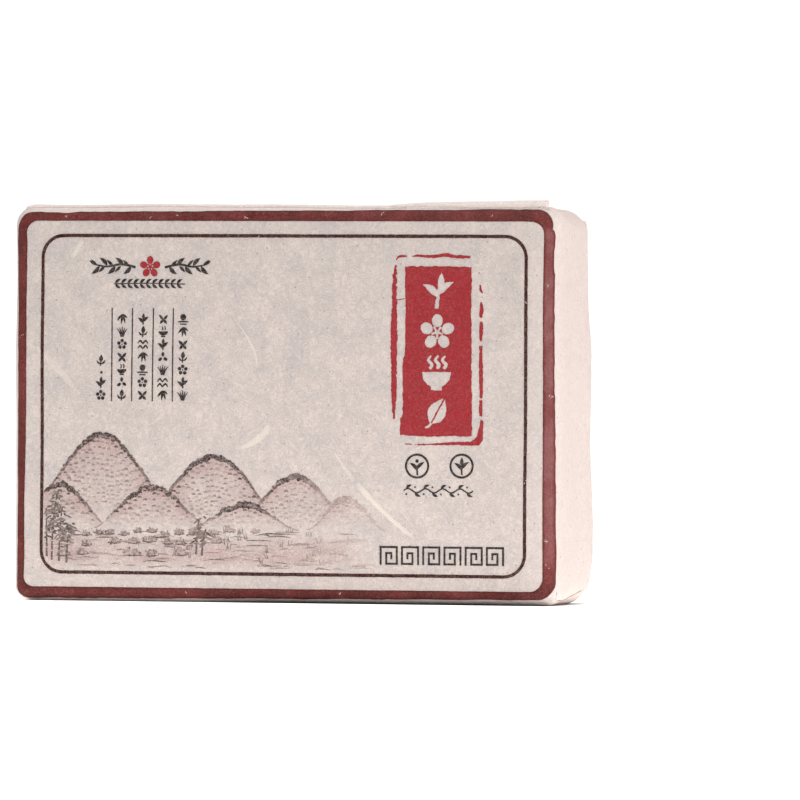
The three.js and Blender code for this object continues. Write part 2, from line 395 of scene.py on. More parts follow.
def end_flap(side):
    """The outer flap of one end: it leaves the front edge, runs back over the end and narrows."""
    def at(u, v):
        back = u * FLAP_REACH
        high = HALF_Z - 1.2 - 0.5 * FLAP_SLANT * smooth(back, 4, FLAP_REACH)
        t = v if side > 0 else 1 - v
        ragged = 0.5 * smooth(u, 0.8, 1) * ripple(v, 0 * v, 12, 0.05)
        return side * HALF_X + 0 * u, back + ragged - HALF_Y, lerp(flap_foot(back), high, t)

    return paper_layer(f"end_flap_{'right' if side > 0 else 'left'}", at,
                       lambda u, v: flap_lift(u, v, side),
                       lambda x, y, z: (side * (HALF_X + HALF_Y + y), z), 40, 112)


def end_tab(side, vertical):
    """A short tab under the flap, folded on to the end from the base or from the top."""
    def at(u, v):
        rise = (v if side > 0 else 1 - v) * TAB_REACH
        folded = rise if vertical < 0 else TAB_REACH - rise
        wide = HALF_Y - TAB_INSET - folded * TAB_TAPER
        return side * HALF_X + 0 * u, lerp(-wide, wide, u), vertical * (HALF_Z - 2 - folded)

    name = f"end_tab_{'right' if side > 0 else 'left'}_{'low' if vertical < 0 else 'high'}"
    return paper_layer(name, at, lambda u, v: TAB_LIFT + 0.05 * ripple(u, v, 14),
                       lambda x, y, z: (side * (260 + y), z), 28, 16)


def top_rise(along, v):
    """How far the top sheet stands off, growing towards the right and the front."""
    rise = np.sqrt(np.clip((along - RISE_START) / RISE_RUN, 0, 1))
    return OVERLAP_LIFT + OVERLAP_RISE * rise * (1 - 0.75 * v)


def top_sheet():
    """The sheet that comes over the top from the back, standing off most at its right end."""
    def at(u, v):
        along = lerp(-HALF_X + 3, HALF_X - OVERLAP_END - OVERLAP_SLANT * v, u)
        front_edge = -HALF_Y + 1.7 + 0.2 * ripple(u, 0 * u, 15, 0.03)
        return along, lerp(front_edge, HALF_Y - 2, v), HALF_Z + 0 * u

    def lift(u, v):
        return top_rise(at(u, v)[0], v) + 0.05 * ripple(u, v, 16, 0.06)

    return paper_layer("top_sheet", at, lift,
                       lambda x, y, z: (x, 300 + HALF_Z + HALF_Y + y), 170, 36, OVERLAP_RISE + 0.9)


def under_sheet():
    """The fold under the top sheet, whose edge shows as a pale line along the right of the top."""
    def at(u, v):
        along = lerp(-20, HALF_X - OVERLAP_END - 0.6 - OVERLAP_SLANT * v, u)
        front_edge = -HALF_Y + 1.25 + 0.15 * ripple(u, 0 * u, 17, 0.03)
        return along, lerp(front_edge, HALF_Y - 6, v), HALF_Z + 0 * u

    def lift(u, v):
        return -0.1 + 0.4 * smooth(u, 0, 0.6) + 0.04 * ripple(u, v, 18, 0.06)

    return paper_layer("under_sheet", at, lift,
                       lambda x, y, z: (x, 340 + HALF_Z + HALF_Y + y), 100, 20, 0.5)


def corner_ear():
    """The small ear left by the folding beyond the front's lower right corner."""
    def at(u, v):
        path = lerp(HALF_X - 2.4, HALF_X + 1.9, u)
        tall = 0.5 + 4.8 * smooth(u, -0.1, 1.0)
        around = np.maximum(path - HALF_X, 0)
        return np.minimum(path, HALF_X), around - HALF_Y, -HALF_Z + 0.3 + tall * v

    def lift(u, v):
        return -0.15 + 0.65 * smooth(u, 0.25, 1) * (1 - 0.4 * v)

    return paper_layer("corner_ear", at, lift,
                       lambda x, y, z: (x + 20, z - 300), 24, 12)


# ------------------------------------------------------------------ drawing, in mm on the front
# All places on the front are from the middle of the print's drawing.

def curve(points, count):
    """Evenly spaced points on a smooth line through the given ones."""
    p = np.asarray(points, float)
    p = np.vstack([2 * p[0] - p[1], p, 2 * p[-1] - p[-2]])
    t = np.linspace(0, len(p) - 3, count)
    i = np.minimum(t.astype(int), len(p) - 4)
    f = (t - i)[:, None]
    a, b, c, d = p[i], p[i + 1], p[i + 2], p[i + 3]
    return 0.5 * (2 * b + (c - a) * f + (2 * a - 5 * b + 4 * c - d) * f ** 2
                  + (3 * b - a - 3 * c + d) * f ** 3)


def stroke(points, widths, pitch=0.6):
    """The outline of a brush stroke through points, its widths spread evenly along it."""
    length = np.linalg.norm(np.diff(np.asarray(points, float), axis=0), axis=1).sum()
    line = curve(points, max(4, int(length / pitch) + 2))
    along = np.gradient(line, axis=0)
    normal = np.stack([-along[:, 1], along[:, 0]], -1)
    normal /= np.maximum(np.linalg.norm(along, axis=1)[:, None], 1e-9)
    share = np.linspace(0, 1, len(line))
    width = np.interp(share, np.linspace(0, 1, len(widths)), widths)[:, None] / 2
    return np.concatenate([line + normal * width, (line - normal * width)[::-1]])


def leaf(base, tip, width, bend=0.0):
    """A leaf's outline, broadest a little before its middle."""
    base, tip = np.array(base, float), np.array(tip, float)
    side = np.array([base[1] - tip[1], tip[0] - base[0]])
    t = np.linspace(0, 1, 8)[:, None]
    middle = lerp(base, tip, t) + side * bend * 4 * t * (1 - t)
    half = side / np.linalg.norm(side) * width / 2 * np.sin(np.pi * t ** 0.85)
    return np.concatenate([middle + half, (middle - half)[-2:0:-1]])


def disc(centre, radius, sides=12, squash=1.0, turn=0.0):
    """A round outline, or an oval one where it is squashed."""
    angle = np.linspace(0, 2 * math.pi, sides, endpoint=False)
    x, z = radius * np.cos(angle), radius * squash * np.sin(angle)
    return np.stack([centre[0] + x * math.cos(turn) - z * math.sin(turn),
                     centre[1] + x * math.sin(turn) + z * math.cos(turn)], -1)


def bar(x0, z0, x1, z1):
    """An upright rectangle between two of its corners."""
    return np.array([(x0, z0), (x1, z0), (x1, z1), (x0, z1)], float)


def bars(points, width):
    """Straight strokes with square corners along points that turn at right angles."""
    half = width / 2
    return [bar(min(a[0], b[0]) - half, min(a[1], b[1]) - half,
                max(a[0], b[0]) + half, max(a[1], b[1]) + half)
            for a, b in zip(points, points[1:])]


def dense(outline, pitch):
    """The same outline with no edge longer than pitch."""
    rows = []
    for a, b in zip(outline, np.roll(outline, -1, axis=0)):
        count = max(1, math.ceil(np.linalg.norm(b - a) / pitch))
        rows.append(a + (b - a) * np.linspace(0, 1, count, endpoint=False)[:, None])
    return np.concatenate(rows)


def ragged(outline, amount, seed, cell=1.1, pitch=0.4):
    """An outline with an uneven edge, as of a worn stamp."""
    points = dense(outline, pitch)
    along = np.roll(points, -1, axis=0) - np.roll(points, 1, axis=0)
    normal = np.stack([along[:, 1], -along[:, 0]], -1)
    normal /= np.maximum(np.linalg.norm(normal, axis=1)[:, None], 1e-9)
    push = value_noise(points, cell, seed) + 0.6 * value_noise(points, cell * 0.4, seed + 1)
    return points + normal * (amount * push)[:, None]


def placed(outlines, centre, size=1.0, turn=0.0):
    """Outlines made round (0, 0), brought to their place."""
    c, s = math.cos(turn) * size, math.sin(turn) * size
    turned = np.array([[c, s], [-s, c]])
    return [np.asarray(o, float) @ turned + np.asarray(centre, float) for o in outlines]


def anticlockwise(outline):
    """The same outline, turned round if it runs clockwise."""
    x, z = outline.T
    area = (x * np.roll(z, -1) - np.roll(x, -1) * z).sum()
    return outline if area > 0 else outline[::-1]


def inside(points, outline):
    """Which points lie inside an outline."""
    x, z = points[:, 0], points[:, 1]
    within = np.zeros(len(points), bool)
    for (x0, z0), (x1, z1) in zip(outline, np.roll(outline, -1, axis=0)):
        if z0 != z1:
            crosses = (z0 > z) != (z1 > z)
            within ^= crosses & (x < (x1 - x0) * (z - z0) / (z1 - z0) + x0)
    return within


def printed(name, shapes, lift, pitch=1.8):
    """A flat print laid over the front. shapes are (outline, holes, strength), later ones on top,
    and pitch is the longest edge of its mesh along an outline."""
    points, rings, owners, inner = [], [], [], []
    count = 0
    for number, (outline, holes, _) in enumerate(shapes):
        for order, ring in enumerate([outline, *holes]):
            ring = dense(anticlockwise(np.asarray(ring, float)), pitch)
            rings.append(list(range(count, count + len(ring))))
            owners.append((number, order > 0))
            points.append(ring)
            count += len(ring)
        size = np.ptp(outline, axis=0)
        if size.min() > 2 * pitch:
            low, high = outline.min(0), outline.max(0)
            grid = np.stack(np.meshgrid(np.arange(low[0] + pitch / 2, high[0], pitch),
                                        np.arange(low[1] + pitch / 2, high[1], pitch)), -1)
            grid = grid.reshape(-1, 2)
            inner.append(grid[inside(grid, outline)])
    points = np.concatenate(points + inner)
    made = delaunay_2d_cdt([Vector(p) for p in points], [], rings, 1, 1e-5)
    faces, strength = [], []
    for triangle, sources in zip(made[2], made[5]):
        holed = {owners[s][0] for s in sources if owners[s][1]}
        solid = [owners[s][0] for s in sources if not owners[s][1] and owners[s][0] not in holed]
        if solid:
            faces.append(triangle)
            strength.append([shapes[max(solid)][2]] * 3)
    faces = np.array(faces)
    flat = np.array([tuple(v) for v in made[0]])
    used, faces = np.unique(faces, return_inverse=True)
    flat, faces = flat[used], faces.reshape(-1, 3)
    a, b, c = (flat[faces[:, k]] for k in range(3))
    turned = (b - a)[:, 0] * (c - a)[:, 1] - (b - a)[:, 1] * (c - a)[:, 0] < 0
    faces[turned] = faces[turned][:, ::-1]
    spots, normals, sheet = on_front(flat[:, 0], flat[:, 1], lift)
    return piece(name, spots, faces, sheet[faces], np.array(strength, float), normals)


# ------------------------------------------------------------------ the border and the thin line

# Sides of the border's two outlines, their heights at each corner, and the width and height of
# each corner's rounding, anticlockwise from the lower left
BORDER_OUTER = dict(left=-83.9, right=84.3, top_left=57.65, top_right=58.64,
                    low_left=-58.95, low_right=-57.8,
                    radius=((3.6, 3.6), (5.0, 5.2), (6.0, 4.6), (5.0, 5.4)))
BORDER_INNER = dict(left=-81.66, right=80.8, top_left=55.0, top_right=55.0,
                    low_left=-55.43, low_right=-55.43,
                    radius=((3.2, 3.2), (4.0, 4.0), (4.2, 3.8), (4.2, 4.2)))
# How far the border's upright sides wander outwards, by height
SIDE_HEIGHTS = (-56, -47, -29, -14, 1, 16, 31, 40, 49, 54)
LEFT_OUTER = (0, 0, -0.15, 0, -0.1, 0, 0.05, 0.2, 0.44, 0.2)
LEFT_INNER = (0, -0.31, -0.13, -0.47, -0.65, -0.65, -0.56, -0.65, -0.75, -0.4)
RIGHT_OUTER = (0, 0.1, 0.1, -0.1, -0.3, -0.4, -0.5, -0.5, -0.5, -0.2)
RIGHT_INNER = (0, 0.06, 0, -0.05, -0.1, -0.18, -0.25, -0.15, -0.05, 0)
TOP_NOTCH, SIDE_NOTCH = (-68.9, 2.6, 0.35), (51.9, 0.7, 0.3)  # middle, width and depth
CORNER_NARROWING = 0.85  # of the upper right corner
BORDER_BANDS, LINE_BANDS = 7, 2  # strips of faces across the border and the line
LINE_MIDDLE, LINE_SIZE, LINE_WIDTH, LINE_RADIUS = (-0.32, -0.24), (151.26, 101.55), 1.0, 6.6
SIDE_STEPS, CORNER_STEPS = 240, 14  # points along each side and round each corner of a frame


def frame_outline(left, right, top_left, top_right, low_left, low_right, radius):
    """A rounded frame's outline, from its lower left corner and anticlockwise. radius is one
    number, or the width and height of the rounding of each corner in that order."""
    sizes = [(radius, radius)] * 4 if np.ndim(radius) == 0 else radius
    corners = [(1, left, low_left), (-1, right, low_right),
               (-1, right, top_right), (1, left, top_left)]
    centres = [(x + across * wide, z + (tall if number < 2 else -tall), wide, tall)
               for number, ((across, x, z), (wide, tall)) in enumerate(zip(corners, sizes))]
    starts = (math.pi, 1.5 * math.pi, 0.0, 0.5 * math.pi)
    rows = []
    for number, ((x, z, wide, tall), start) in enumerate(zip(centres, starts)):
        angle = np.linspace(start, start + math.pi / 2, CORNER_STEPS)
        rows.append(np.stack([x + wide * np.cos(angle), z + tall * np.sin(angle)], -1))
        x, z, wide, tall = centres[(number + 1) % 4]
        first, turn = rows[-1][-1], starts[(number + 1) % 4]
        last = np.array([x + wide * math.cos(turn), z + tall * math.sin(turn)])
        rows.append(lerp(first, last, np.linspace(0, 1, SIDE_STEPS)[1:-1, None]))
    return np.concatenate(rows)


def outward(outline):
    """The direction out of an anticlockwise outline at each of its points."""
    along = np.roll(outline, -1, axis=0) - np.roll(outline, 1, axis=0)
    normal = np.stack([along[:, 1], -along[:, 0]], -1)
    return normal / np.linalg.norm(normal, axis=1)[:, None]


def ring_print(name, outer, inner, bands, tone=None):
    """A printed band between two outlines with the same number of points. tone takes the share
    across the band and the places to the strength of the ink."""
    rows = bands + 1
    count = len(outer)
    across = np.linspace(0, 1, rows)[None, :, None]
    flat = lerp(inner[:, None], outer[:, None], across).reshape(-1, 2)
    across = np.broadcast_to(across[..., 0], (count, rows)).ravel()
    strength = np.ones(len(flat)) if tone is None else tone(across, flat)
    faces = quad_grid(count + 1, rows)[:, ::-1] % (count * rows)
    spots, normals, sheet = on_front(flat[:, 0], flat[:, 1], PRINT_LIFT)
    return piece(name, spots, faces, sheet[faces], strength[faces], normals)


def border_tone(across, flat):
    """Darker along both edges, cloudy between them, and paler down the right side, where a painted
    sheen stands for the light caught on the rounded edge.
    """
    rim = np.clip(1 - np.minimum(across, 1 - across) / 0.16, 0, 1)
    cloudy = 0.05 * value_noise(flat, 2.6, 37) + 0.05 * value_noise(flat, 9, 38)
    x, z = flat.T
    # Painted sheen: the ink is made paler down the right side, where light catches the rounded edge
    painted_sheen = smooth(x, 79.5, 81.5) * smooth(z, -55, -46) * (1 - smooth(z, 50, 56))
    cloudy = cloudy * (1 - 0.5 * painted_sheen)
    return np.clip(0.87 + cloudy + 0.13 * rim - 0.14 * painted_sheen * (1 - 0.5 * rim), 0, 1)


def notch(places, middle, width, depth):
    """A small soft dent in an edge."""
    return depth * np.exp(-((places - middle) / width) ** 2)


def border_print():
    """The broad border. Its outer edge wanders, and it is narrower at the upper right corner."""
    outer, inner = frame_outline(**BORDER_OUTER), frame_outline(**BORDER_INNER)
    x, z = outer.T
    across = outward(outer)[:, 0]
    to_right, to_left = np.clip(across, 0, 1) ** 1.5, np.clip(-across, 0, 1) ** 1.5
    wander = 0.09 * value_noise(outer, 2.2, 31) + 0.12 * value_noise(outer, 9, 32)
    wander = wander - notch(x, *TOP_NOTCH) * (z > 56)
    wander = wander + np.interp(z, SIDE_HEIGHTS, RIGHT_OUTER) * to_right
    wander = wander + np.interp(z, SIDE_HEIGHTS, LEFT_OUTER) * to_left
    wander = wander - CORNER_NARROWING * smooth(z, 52.0, 52.7) * to_right
    wander = wander - notch(z, *SIDE_NOTCH) * to_right
    # Pressed in a little below the corner
    wander = wander - 0.2 * smooth(z, 39, 40) * (1 - smooth(z, 46, 48)) * to_right
    outer = outer + outward(outer) * wander[:, None]
    across = outward(inner)[:, 0]
    wander = np.where(across > 0, np.interp(inner[:, 1], SIDE_HEIGHTS, RIGHT_INNER),
                      np.interp(inner[:, 1], SIDE_HEIGHTS, LEFT_INNER)) * np.abs(across) ** 1.5
    wander = wander + 0.05 * value_noise(inner, 1.4, 33)
    inner = inner + outward(inner) * wander[:, None]
    return ring_print("border_print", outer, inner, BORDER_BANDS, border_tone)


def line_print():
    """The thin line inside the border."""
    (x, z), (wide, tall) = LINE_MIDDLE, LINE_SIZE
    outlines = []
    for grow, seed in ((LINE_WIDTH / 2, 34), (-LINE_WIDTH / 2, 35)):
        top, low = z + tall / 2 + grow, z - tall / 2 - grow
        outline = frame_outline(x - wide / 2 - grow, x + wide / 2 + grow, top, top, low, low,
                                LINE_RADIUS + grow)
        rough = 0.05 * value_noise(outline, 1.2, seed)
        outlines.append(outline + outward(outline) * rough[:, None])
    return ring_print("line_print", *outlines, LINE_BANDS)


FLECK_SPOTS = ((-68.7, 56.4), (-41.9, 56.2), (-33.1, 56.6), (64.6, 56.9), (-12.0, 56.1),
               (30.5, 57.3), (82.3, -48.0), (82.0, -40.2), (82.8, 3.0), (-82.6, 20.5),
               (-30.0, -57.0), (18.0, -56.6), (75.2, 31.4), (81.9, 36.1), (-8.0, 50.4),
               (75.3, -22.5))


def print_flecks():
    """Small bare nicks where raised fibres took no ink from the border and the line."""
    rng = np.random.default_rng(36)
    shapes = []
    for spot in FLECK_SPOTS:
        for _ in range(rng.integers(1, 4)):
            centre = np.array(spot) + rng.normal(0, 0.35, 2)
            long, angle = rng.uniform(0.25, 0.6), rng.uniform(0, math.pi)
            half = long * np.array([math.cos(angle), math.sin(angle)])
            shapes.append((leaf(centre - half, centre + half, rng.uniform(0.14, 0.26)), (), 0.75))
    return printed("print_flecks", shapes, FLECK_LIFT)


# ------------------------------------------------------------------ the red panel and its frame

def sprig_motif():
    """Two leaves and a bud on a stem."""
    return [stroke([(-0.6, -5.4), (-0.2, -2.4), (0.1, 0.6)], [1.3, 1.1, 0.9]),
            leaf((-0.3, -2.0), (-4.9, 1.8), 2.3, -0.12), leaf((0.0, -1.2), (4.7, 2.6), 2.3, 0.12),
            leaf((0.1, 0.2), (0.9, 5.6), 2.0, -0.05)]


def blossom_motif():
    """Five petals round a ring of stamens."""
    shapes = []
    for k in range(5):
        angle = math.pi / 2 + k * 2 * math.pi / 5
        centre = (3.4 * math.cos(angle), 3.4 * math.sin(angle))
        shapes.append(disc(centre, 1.95, 14, 0.88, angle))
        inner = angle + math.pi / 5
        shapes.append(stroke([(0, 0), (1.9 * math.cos(inner), 1.9 * math.sin(inner))], [0.5, 0.8]))
    return shapes + [disc((0, 0), 0.75)]


def bowl_motif():
    """A tea bowl on its foot, with steam."""
    bowl = np.array([(-4.6, 0.6), (4.6, 0.6), (4.1, -1.6), (2.7, -3.3), (1.7, -3.8), (1.7, -4.9),
                     (-1.7, -4.9), (-1.7, -3.8), (-2.7, -3.3), (-4.1, -1.6)])
    steam = [stroke([(x, 1.5), (x + 0.7, 2.8), (x - 0.5, 4.1), (x + 0.5, 5.5)],
                    [0.9, 1.1, 0.9, 0.6]) for x in (-2.1, 0.1, 2.3)]
    return [bowl, *steam]


def veined_leaf_motif():
    """One broad leaf, drawn in two halves either side of its vein, with a stalk."""
    halves = []
    for side in (-1, 1):
        t = np.linspace(0, 1, 12)
        bulge = side * 2.7 * np.sin(np.pi * t ** 0.8) + side * 0.25
        edge = np.stack([bulge, lerp(-3.6, 5.4, t)], -1)
        vein = np.stack([side * 0.25 + 0 * t, lerp(5.2, -3.4, t)], -1)
        halves.append(np.concatenate([edge, vein[1:-1]]))
    return placed(halves + [stroke([(0, -3.4), (-0.2, -4.6), (-1.0, -5.7)], [0.8, 1.0, 0.7])],
                  (0, 0), 1.0, -0.5)


SEAL_PANEL = ((36.7, -8.9), (45.0, -9.3), (58.8, -9.1), (58.7, 10.0), (58.5, 30.0),
              (58.5, 41.4), (48.0, 41.6), (37.9, 41.5), (38.1, 28.0), (37.9, 15.0),
              (37.3, 13.8), (37.4, -3.4), (36.7, -3.9))
# The broken frame round the panel: points, widths, and how ragged each stroke is
SEAL_STROKES = (
    ([(35.1, 43.4), (35.9, 44.4), (37.2, 44.6), (38.5, 44.5)], [0.3, 0.75, 0.7, 0.3], 0.08),
    ([(40.0, 44.6), (42.1, 44.7), (45.7, 44.45), (50.4, 44.9), (53.5, 44.5), (58.1, 44.35)],
     [0.35, 0.7, 0.9, 1.15, 1.0, 0.85], 0.13),
    ([(34.95, 41.9), (34.75, 38), (34.65, 32), (34.6, 24.5), (34.5, 15), (34.6, 9.5)],
     [0.5, 1.15, 1.5, 2.0, 1.9, 1.5], 0.27),
    ([(34.6, 9.8), (34.6, 5.4), (34.65, 2.2), (34.65, -0.4), (34.7, -4.2)],
     [1.5, 1.8, 1.3, 0.9, 0.75], 0.15),
    ([(35.5, 31.45), (37.8, 31.85)], [0.28, 0.22], 0.0),
    ([(61.2, 36.0), (61.3, 34.7), (61.9, 33.6)], [0.4, 0.8, 0.35], 0.08),
    ([(61.5, 30.9), (61.6, 28.5), (61.45, 26.2)], [0.7, 1.3, 0.8], 0.14),
    ([(61.6, 25.2), (61.6, 22), (61.5, 19.3)], [0.9, 1.25, 0.7], 0.12),
    ([(61.5, 17.8), (61.6, 12), (61.6, 6), (61.6, 2.2)], [0.9, 1.2, 1.2, 0.9], 0.13),
    ([(61.5, 1.6), (61.5, -0.8), (61.5, -3.2)], [0.9, 1.1, 0.8], 0.12),
    ([(42.2, -11.75), (47.1, -11.6), (52.2, -11.4), (58.6, -11.3)], [0.3, 0.55, 0.8, 1.1], 0.1),
    ([(38.4, -11.6), (40.2, -11.6)], [0.35, 0.25], 0.05),
    ([(60.75, 39.75), (60.95, 39.55)], [0.3, 0.3], 0.0),
    ([(41.4, -11.7), (41.75, -11.7)], [0.3, 0.3], 0.0),
)
SEAL_CORNER = ((61.5, -4.2), (62.2, -4.6), (62.3, -8.5), (62.1, -10.4), (61.1, -11.8),
               (58.3, -11.85), (58.4, -10.9), (59.4, -10.2), (60.3, -9.0), (61.1, -6.8))
HEADING_MIDDLE, HEADING_HEIGHT, GARLAND_HEIGHT = -42.0, 41.4, 36.1


def seal_print():
    """The red panel with its motifs left bare, its worn frame, and the heading's red blossom."""
    motifs = (placed(sprig_motif(), (48.3, 34.3)) + placed(blossom_motif(), (48.0, 21.9), 1.02)
              + placed(bowl_motif(), (47.8, 9.4))
              + placed(veined_leaf_motif(), (47.85, -2.4), 0.95))
    motifs = [ragged(m, 0.1, 40 + i, 0.8, 0.35) for i, m in enumerate(motifs)]
    shapes = [(ragged(np.array(SEAL_PANEL), 0.17, 60), motifs, 1.0)]
    for number, (points, widths, amount) in enumerate(SEAL_STROKES):
        outline = stroke(points, widths, 0.4)
        shapes.append((ragged(outline, amount, 70 + number, 0.9, 0.3), (), 1.0))
    shapes.append((ragged(np.array(SEAL_CORNER), 0.12, 90, 1.0, 0.35), (), 1.0))
    shapes += [(petal, (), 1.0) for petal in placed(blossom_motif(), (HEADING_MIDDLE, 41.1), 0.62)]
    return printed("seal_print", shapes, PRINT_LIFT)


# ------------------------------------------------------------------ the dark marks

def small_marks():
    """The small pictorial marks, each about 3 mm high."""
    arc = np.linspace(math.pi, 2 * math.pi, 9)
    ring = [math.pi / 2 + k * 2 * math.pi / 5 for k in range(5)]
    return {
        "shoot": [stroke([(0, -1.5), (0.05, 0.3)], [0.42, 0.34]),
                  leaf((0, -1.1), (-1.5, 0.3), 0.85, -0.1), leaf((0, -0.8), (1.5, 0.6), 0.85, 0.1),
                  leaf((0, -0.1), (0.1, 1.6), 0.8)],
        "bamboo": [leaf((0, 1.3), (-1.45, -0.5), 0.62), leaf((0.05, 1.3), (-0.3, -1.5), 0.62),
                   leaf((0.1, 1.3), (0.85, -1.2), 0.62), leaf((0.1, 1.3), (1.5, 0.2), 0.55)],
        "blossom": [disc((0.95 * math.cos(a), 0.95 * math.sin(a)), 0.5, 9) for a in ring]
        + [disc((0, 0), 0.22, 6)],
        "waves": [stroke([(-1.45, z), (-0.75, z + 0.75), (0, z), (0.75, z + 0.75), (1.45, z)],
                         [0.25, 0.5, 0.36, 0.5, 0.25], 0.3) for z in (-1.1, 0.25)],
        "bowl": [np.stack([1.35 * np.cos(arc), 0.1 + 1.15 * np.sin(arc)], -1),
                 bar(-0.6, -1.45, 0.6, -1.1),
                 stroke([(-0.35, 0.45), (-0.1, 0.9), (-0.4, 1.5)], [0.3, 0.4, 0.2]),
                 stroke([(0.4, 0.45), (0.65, 0.9), (0.35, 1.5)], [0.3, 0.4, 0.2])],
        "bud": [leaf((0, -0.5), (0.1, 1.6), 1.15), stroke([(0, -0.3), (-0.1, -1.5)], [0.36, 0.36]),
                leaf((0, -1.0), (-1.2, 0.1), 0.5, 0.15), leaf((0, -1.0), (1.2, 0.2), 0.5, -0.15)],
        "grass": [stroke([(0.15 * k, -1.4), (0.35 * k, -0.2), (0.72 * k, 1.3 - 0.25 * abs(k))],
                         [0.36, 0.36, 0.18]) for k in (-2, -1, 0, 1, 2)],
        "seeds": [disc((-0.75, -0.6), 0.62, 9, 0.7, 0.6), disc((0.75, -0.5), 0.62, 9, 0.7, -0.6),
                  disc((0, 0.75), 0.62, 9, 0.7, 1.57)],
        "sun": [disc((0, 0.55), 0.85, 14),
                stroke([(-1.5, -0.75), (0, -0.65), (1.5, -0.75)], [0.3, 0.42, 0.3]),
                stroke([(-0.9, -1.35), (0.9, -1.35)], [0.36, 0.36])],
        "spray": [leaf((0, -0.2), (1.3 * x, 1.3 * z), 0.75)
                  for x, z in ((-1, 0.9), (1, 0.9), (-0.8, -1), (0.8, -1))]
        + [disc((0, -0.1), 0.28, 7)],
    }


RULES, RULE_HALF_WIDTH, RULE_FOOT, RULE_TOP = (-53.9, -47.5, -40.9, -34.6), 0.18, 0.65, 28.75
COLUMNS = {-50.7: "bamboo grass blossom spray bowl seeds bud",
           -44.1: "shoot bud waves bamboo sun blossom spray",
           -37.7: "spray bowl shoot seeds grass waves bamboo",
           -31.4: "sun bamboo spray bud blossom shoot grass"}
COLUMN_TOP, ROW_PITCH, MARK_SIZE = 25.45, 3.82, 1.12
# The short column: its place, the marks under its dot with their heights, and the marks' size
SHORT_COLUMN, SHORT_MARKS, SHORT_SIZE = -57.35, (("shoot", 6.3), ("blossom", 2.4)), 1.1


def verse_columns():
    """Four ruled columns of small marks, and a short fifth one lower down on the left."""
    marks = small_marks()
    shapes = [bar(x - RULE_HALF_WIDTH, RULE_FOOT, x + RULE_HALF_WIDTH, RULE_TOP) for x in RULES]
    for x, names in COLUMNS.items():
        for row, name in enumerate(names.split()):
            shapes += placed(marks[name], (x, COLUMN_TOP - ROW_PITCH * row), MARK_SIZE)
    shapes += placed(marks["bud"], (SHORT_COLUMN, 12.9), SHORT_SIZE) + [disc((-57.2, 9.3), 0.38, 8)]
    for name, height in SHORT_MARKS:
        shapes += placed(marks[name], (SHORT_COLUMN, height), SHORT_SIZE)
    return shapes


def heading_sprigs():
    """Two sprigs, mirrored either side of the small red blossom, and a garland under them."""
    shapes = []
    for side in (-1, 1):
        base = HEADING_MIDDLE + side * 4.6
        shapes.append(stroke([(base, 41.0), (base + side * 4.5, 41.9), (base + side * 9, 41.2),
                              (base + side * 13.4, 41.9)], [0.75, 0.65, 0.55, 0.3]))
        for k in range(5):
            x = base + side * (1.4 + 2.5 * k)
            up = 1 if k % 2 else -1
            shapes.append(leaf((x, HEADING_HEIGHT), (x + side * 2.5, HEADING_HEIGHT + up * 2.45),
                               1.25, 0.1 * up * side))
            shapes.append(leaf((x + side * 0.7, HEADING_HEIGHT),
                               (x + side * 2.7, HEADING_HEIGHT - up * 1.9), 0.85))
        shapes.append(leaf((base + side * 12.6, 41.7), (base + side * 14.6, 43.0), 0.8))
    shapes.append(stroke([(-53.4, 36.0), (-42.2, 36.2), (-31.0, 36.0)], [0.3]))
    for k in range(11):
        x = -53.0 + 1.95 * k
        shapes += [leaf((x, GARLAND_HEIGHT), (x + 1.75, GARLAND_HEIGHT + up * 1.4), 0.85, up * 0.1)
                   for up in (1, -1)]
    return shapes


def leaf_roundels():
    """Two small roundels: a sprig of two leaves, and a sprig of three."""
    shapes = []
    for centre, tip in (((42.0, -18.15), disc((0, 1.5), 0.55, 10)),
                        ((55.7, -18.05), leaf((0, 0), (0.1, 2.7), 1.1))):
        outer, inner = disc((0, 0), 3.75, 36), disc((0, 0), 3.1, 36)
        shapes.append((outer + centre, [inner + centre], 1.0))
        spray = [stroke([(0.1, -2.7), (0, -0.6), (0, 0.2)], [0.55, 0.5, 0.4]),
                 leaf((0, -1.3), (-2.3, 0.9), 1.05, -0.12), leaf((0, -1.0), (2.3, 1.2), 1.05, 0.12)]
        shapes += [(outline, (), 1.0) for outline in placed(spray + [tip], centre)]
    return shapes


VINE_START, VINE_END, VINE_HEIGHT, LEAF_PITCH = 37.9, 59.3, -25.5, 2.675


def vine_line():
    """A running vine under the roundels."""
    x = np.linspace(VINE_START, VINE_END, 27)
    z = VINE_HEIGHT + 0.62 * np.sin((x - VINE_START) / (2 * LEAF_PITCH) * 2 * math.pi)
    shapes = [stroke(np.stack([x, z], -1), [0.42])]
    for k in range(8):
        at = 38.6 + LEAF_PITCH * k
        up = 1 if k % 2 == 0 else -1
        shapes.append(leaf((at, VINE_HEIGHT + 0.5 * up), (at + 1.9, VINE_HEIGHT + 1.75 * up),
                           0.85, 0.12 * up))
        shapes.append(disc((at + 0.1, VINE_HEIGHT - 1.05 * up), 0.3, 8))
    return shapes


SPIRAL = ((0, 0), (0, 5.0), (5.0, 5.0), (5.0, 0.0), (1.75, 0.0), (1.75, 3.2), (3.3, 3.2),
          (3.3, 1.7))
SPIRAL_SIDE, SPIRAL_COUNT, SPIRAL_PITCH, SPIRAL_WIDTH = 5.0, 6, 6.6, 0.62
SPIRAL_ROW = (30.7, -47.45)  # lower left corner of the first


def fret_row():
    """A row of square spirals, every other one mirrored."""
    shapes = []
    left, foot = SPIRAL_ROW
    for number in range(SPIRAL_COUNT):
        spiral = [(SPIRAL_SIDE - x if number % 2 else x, z) for x, z in SPIRAL]
        start = left + SPIRAL_PITCH * number
        shapes += bars([(start + x, foot + z) for x, z in spiral], SPIRAL_WIDTH)
    return shapes


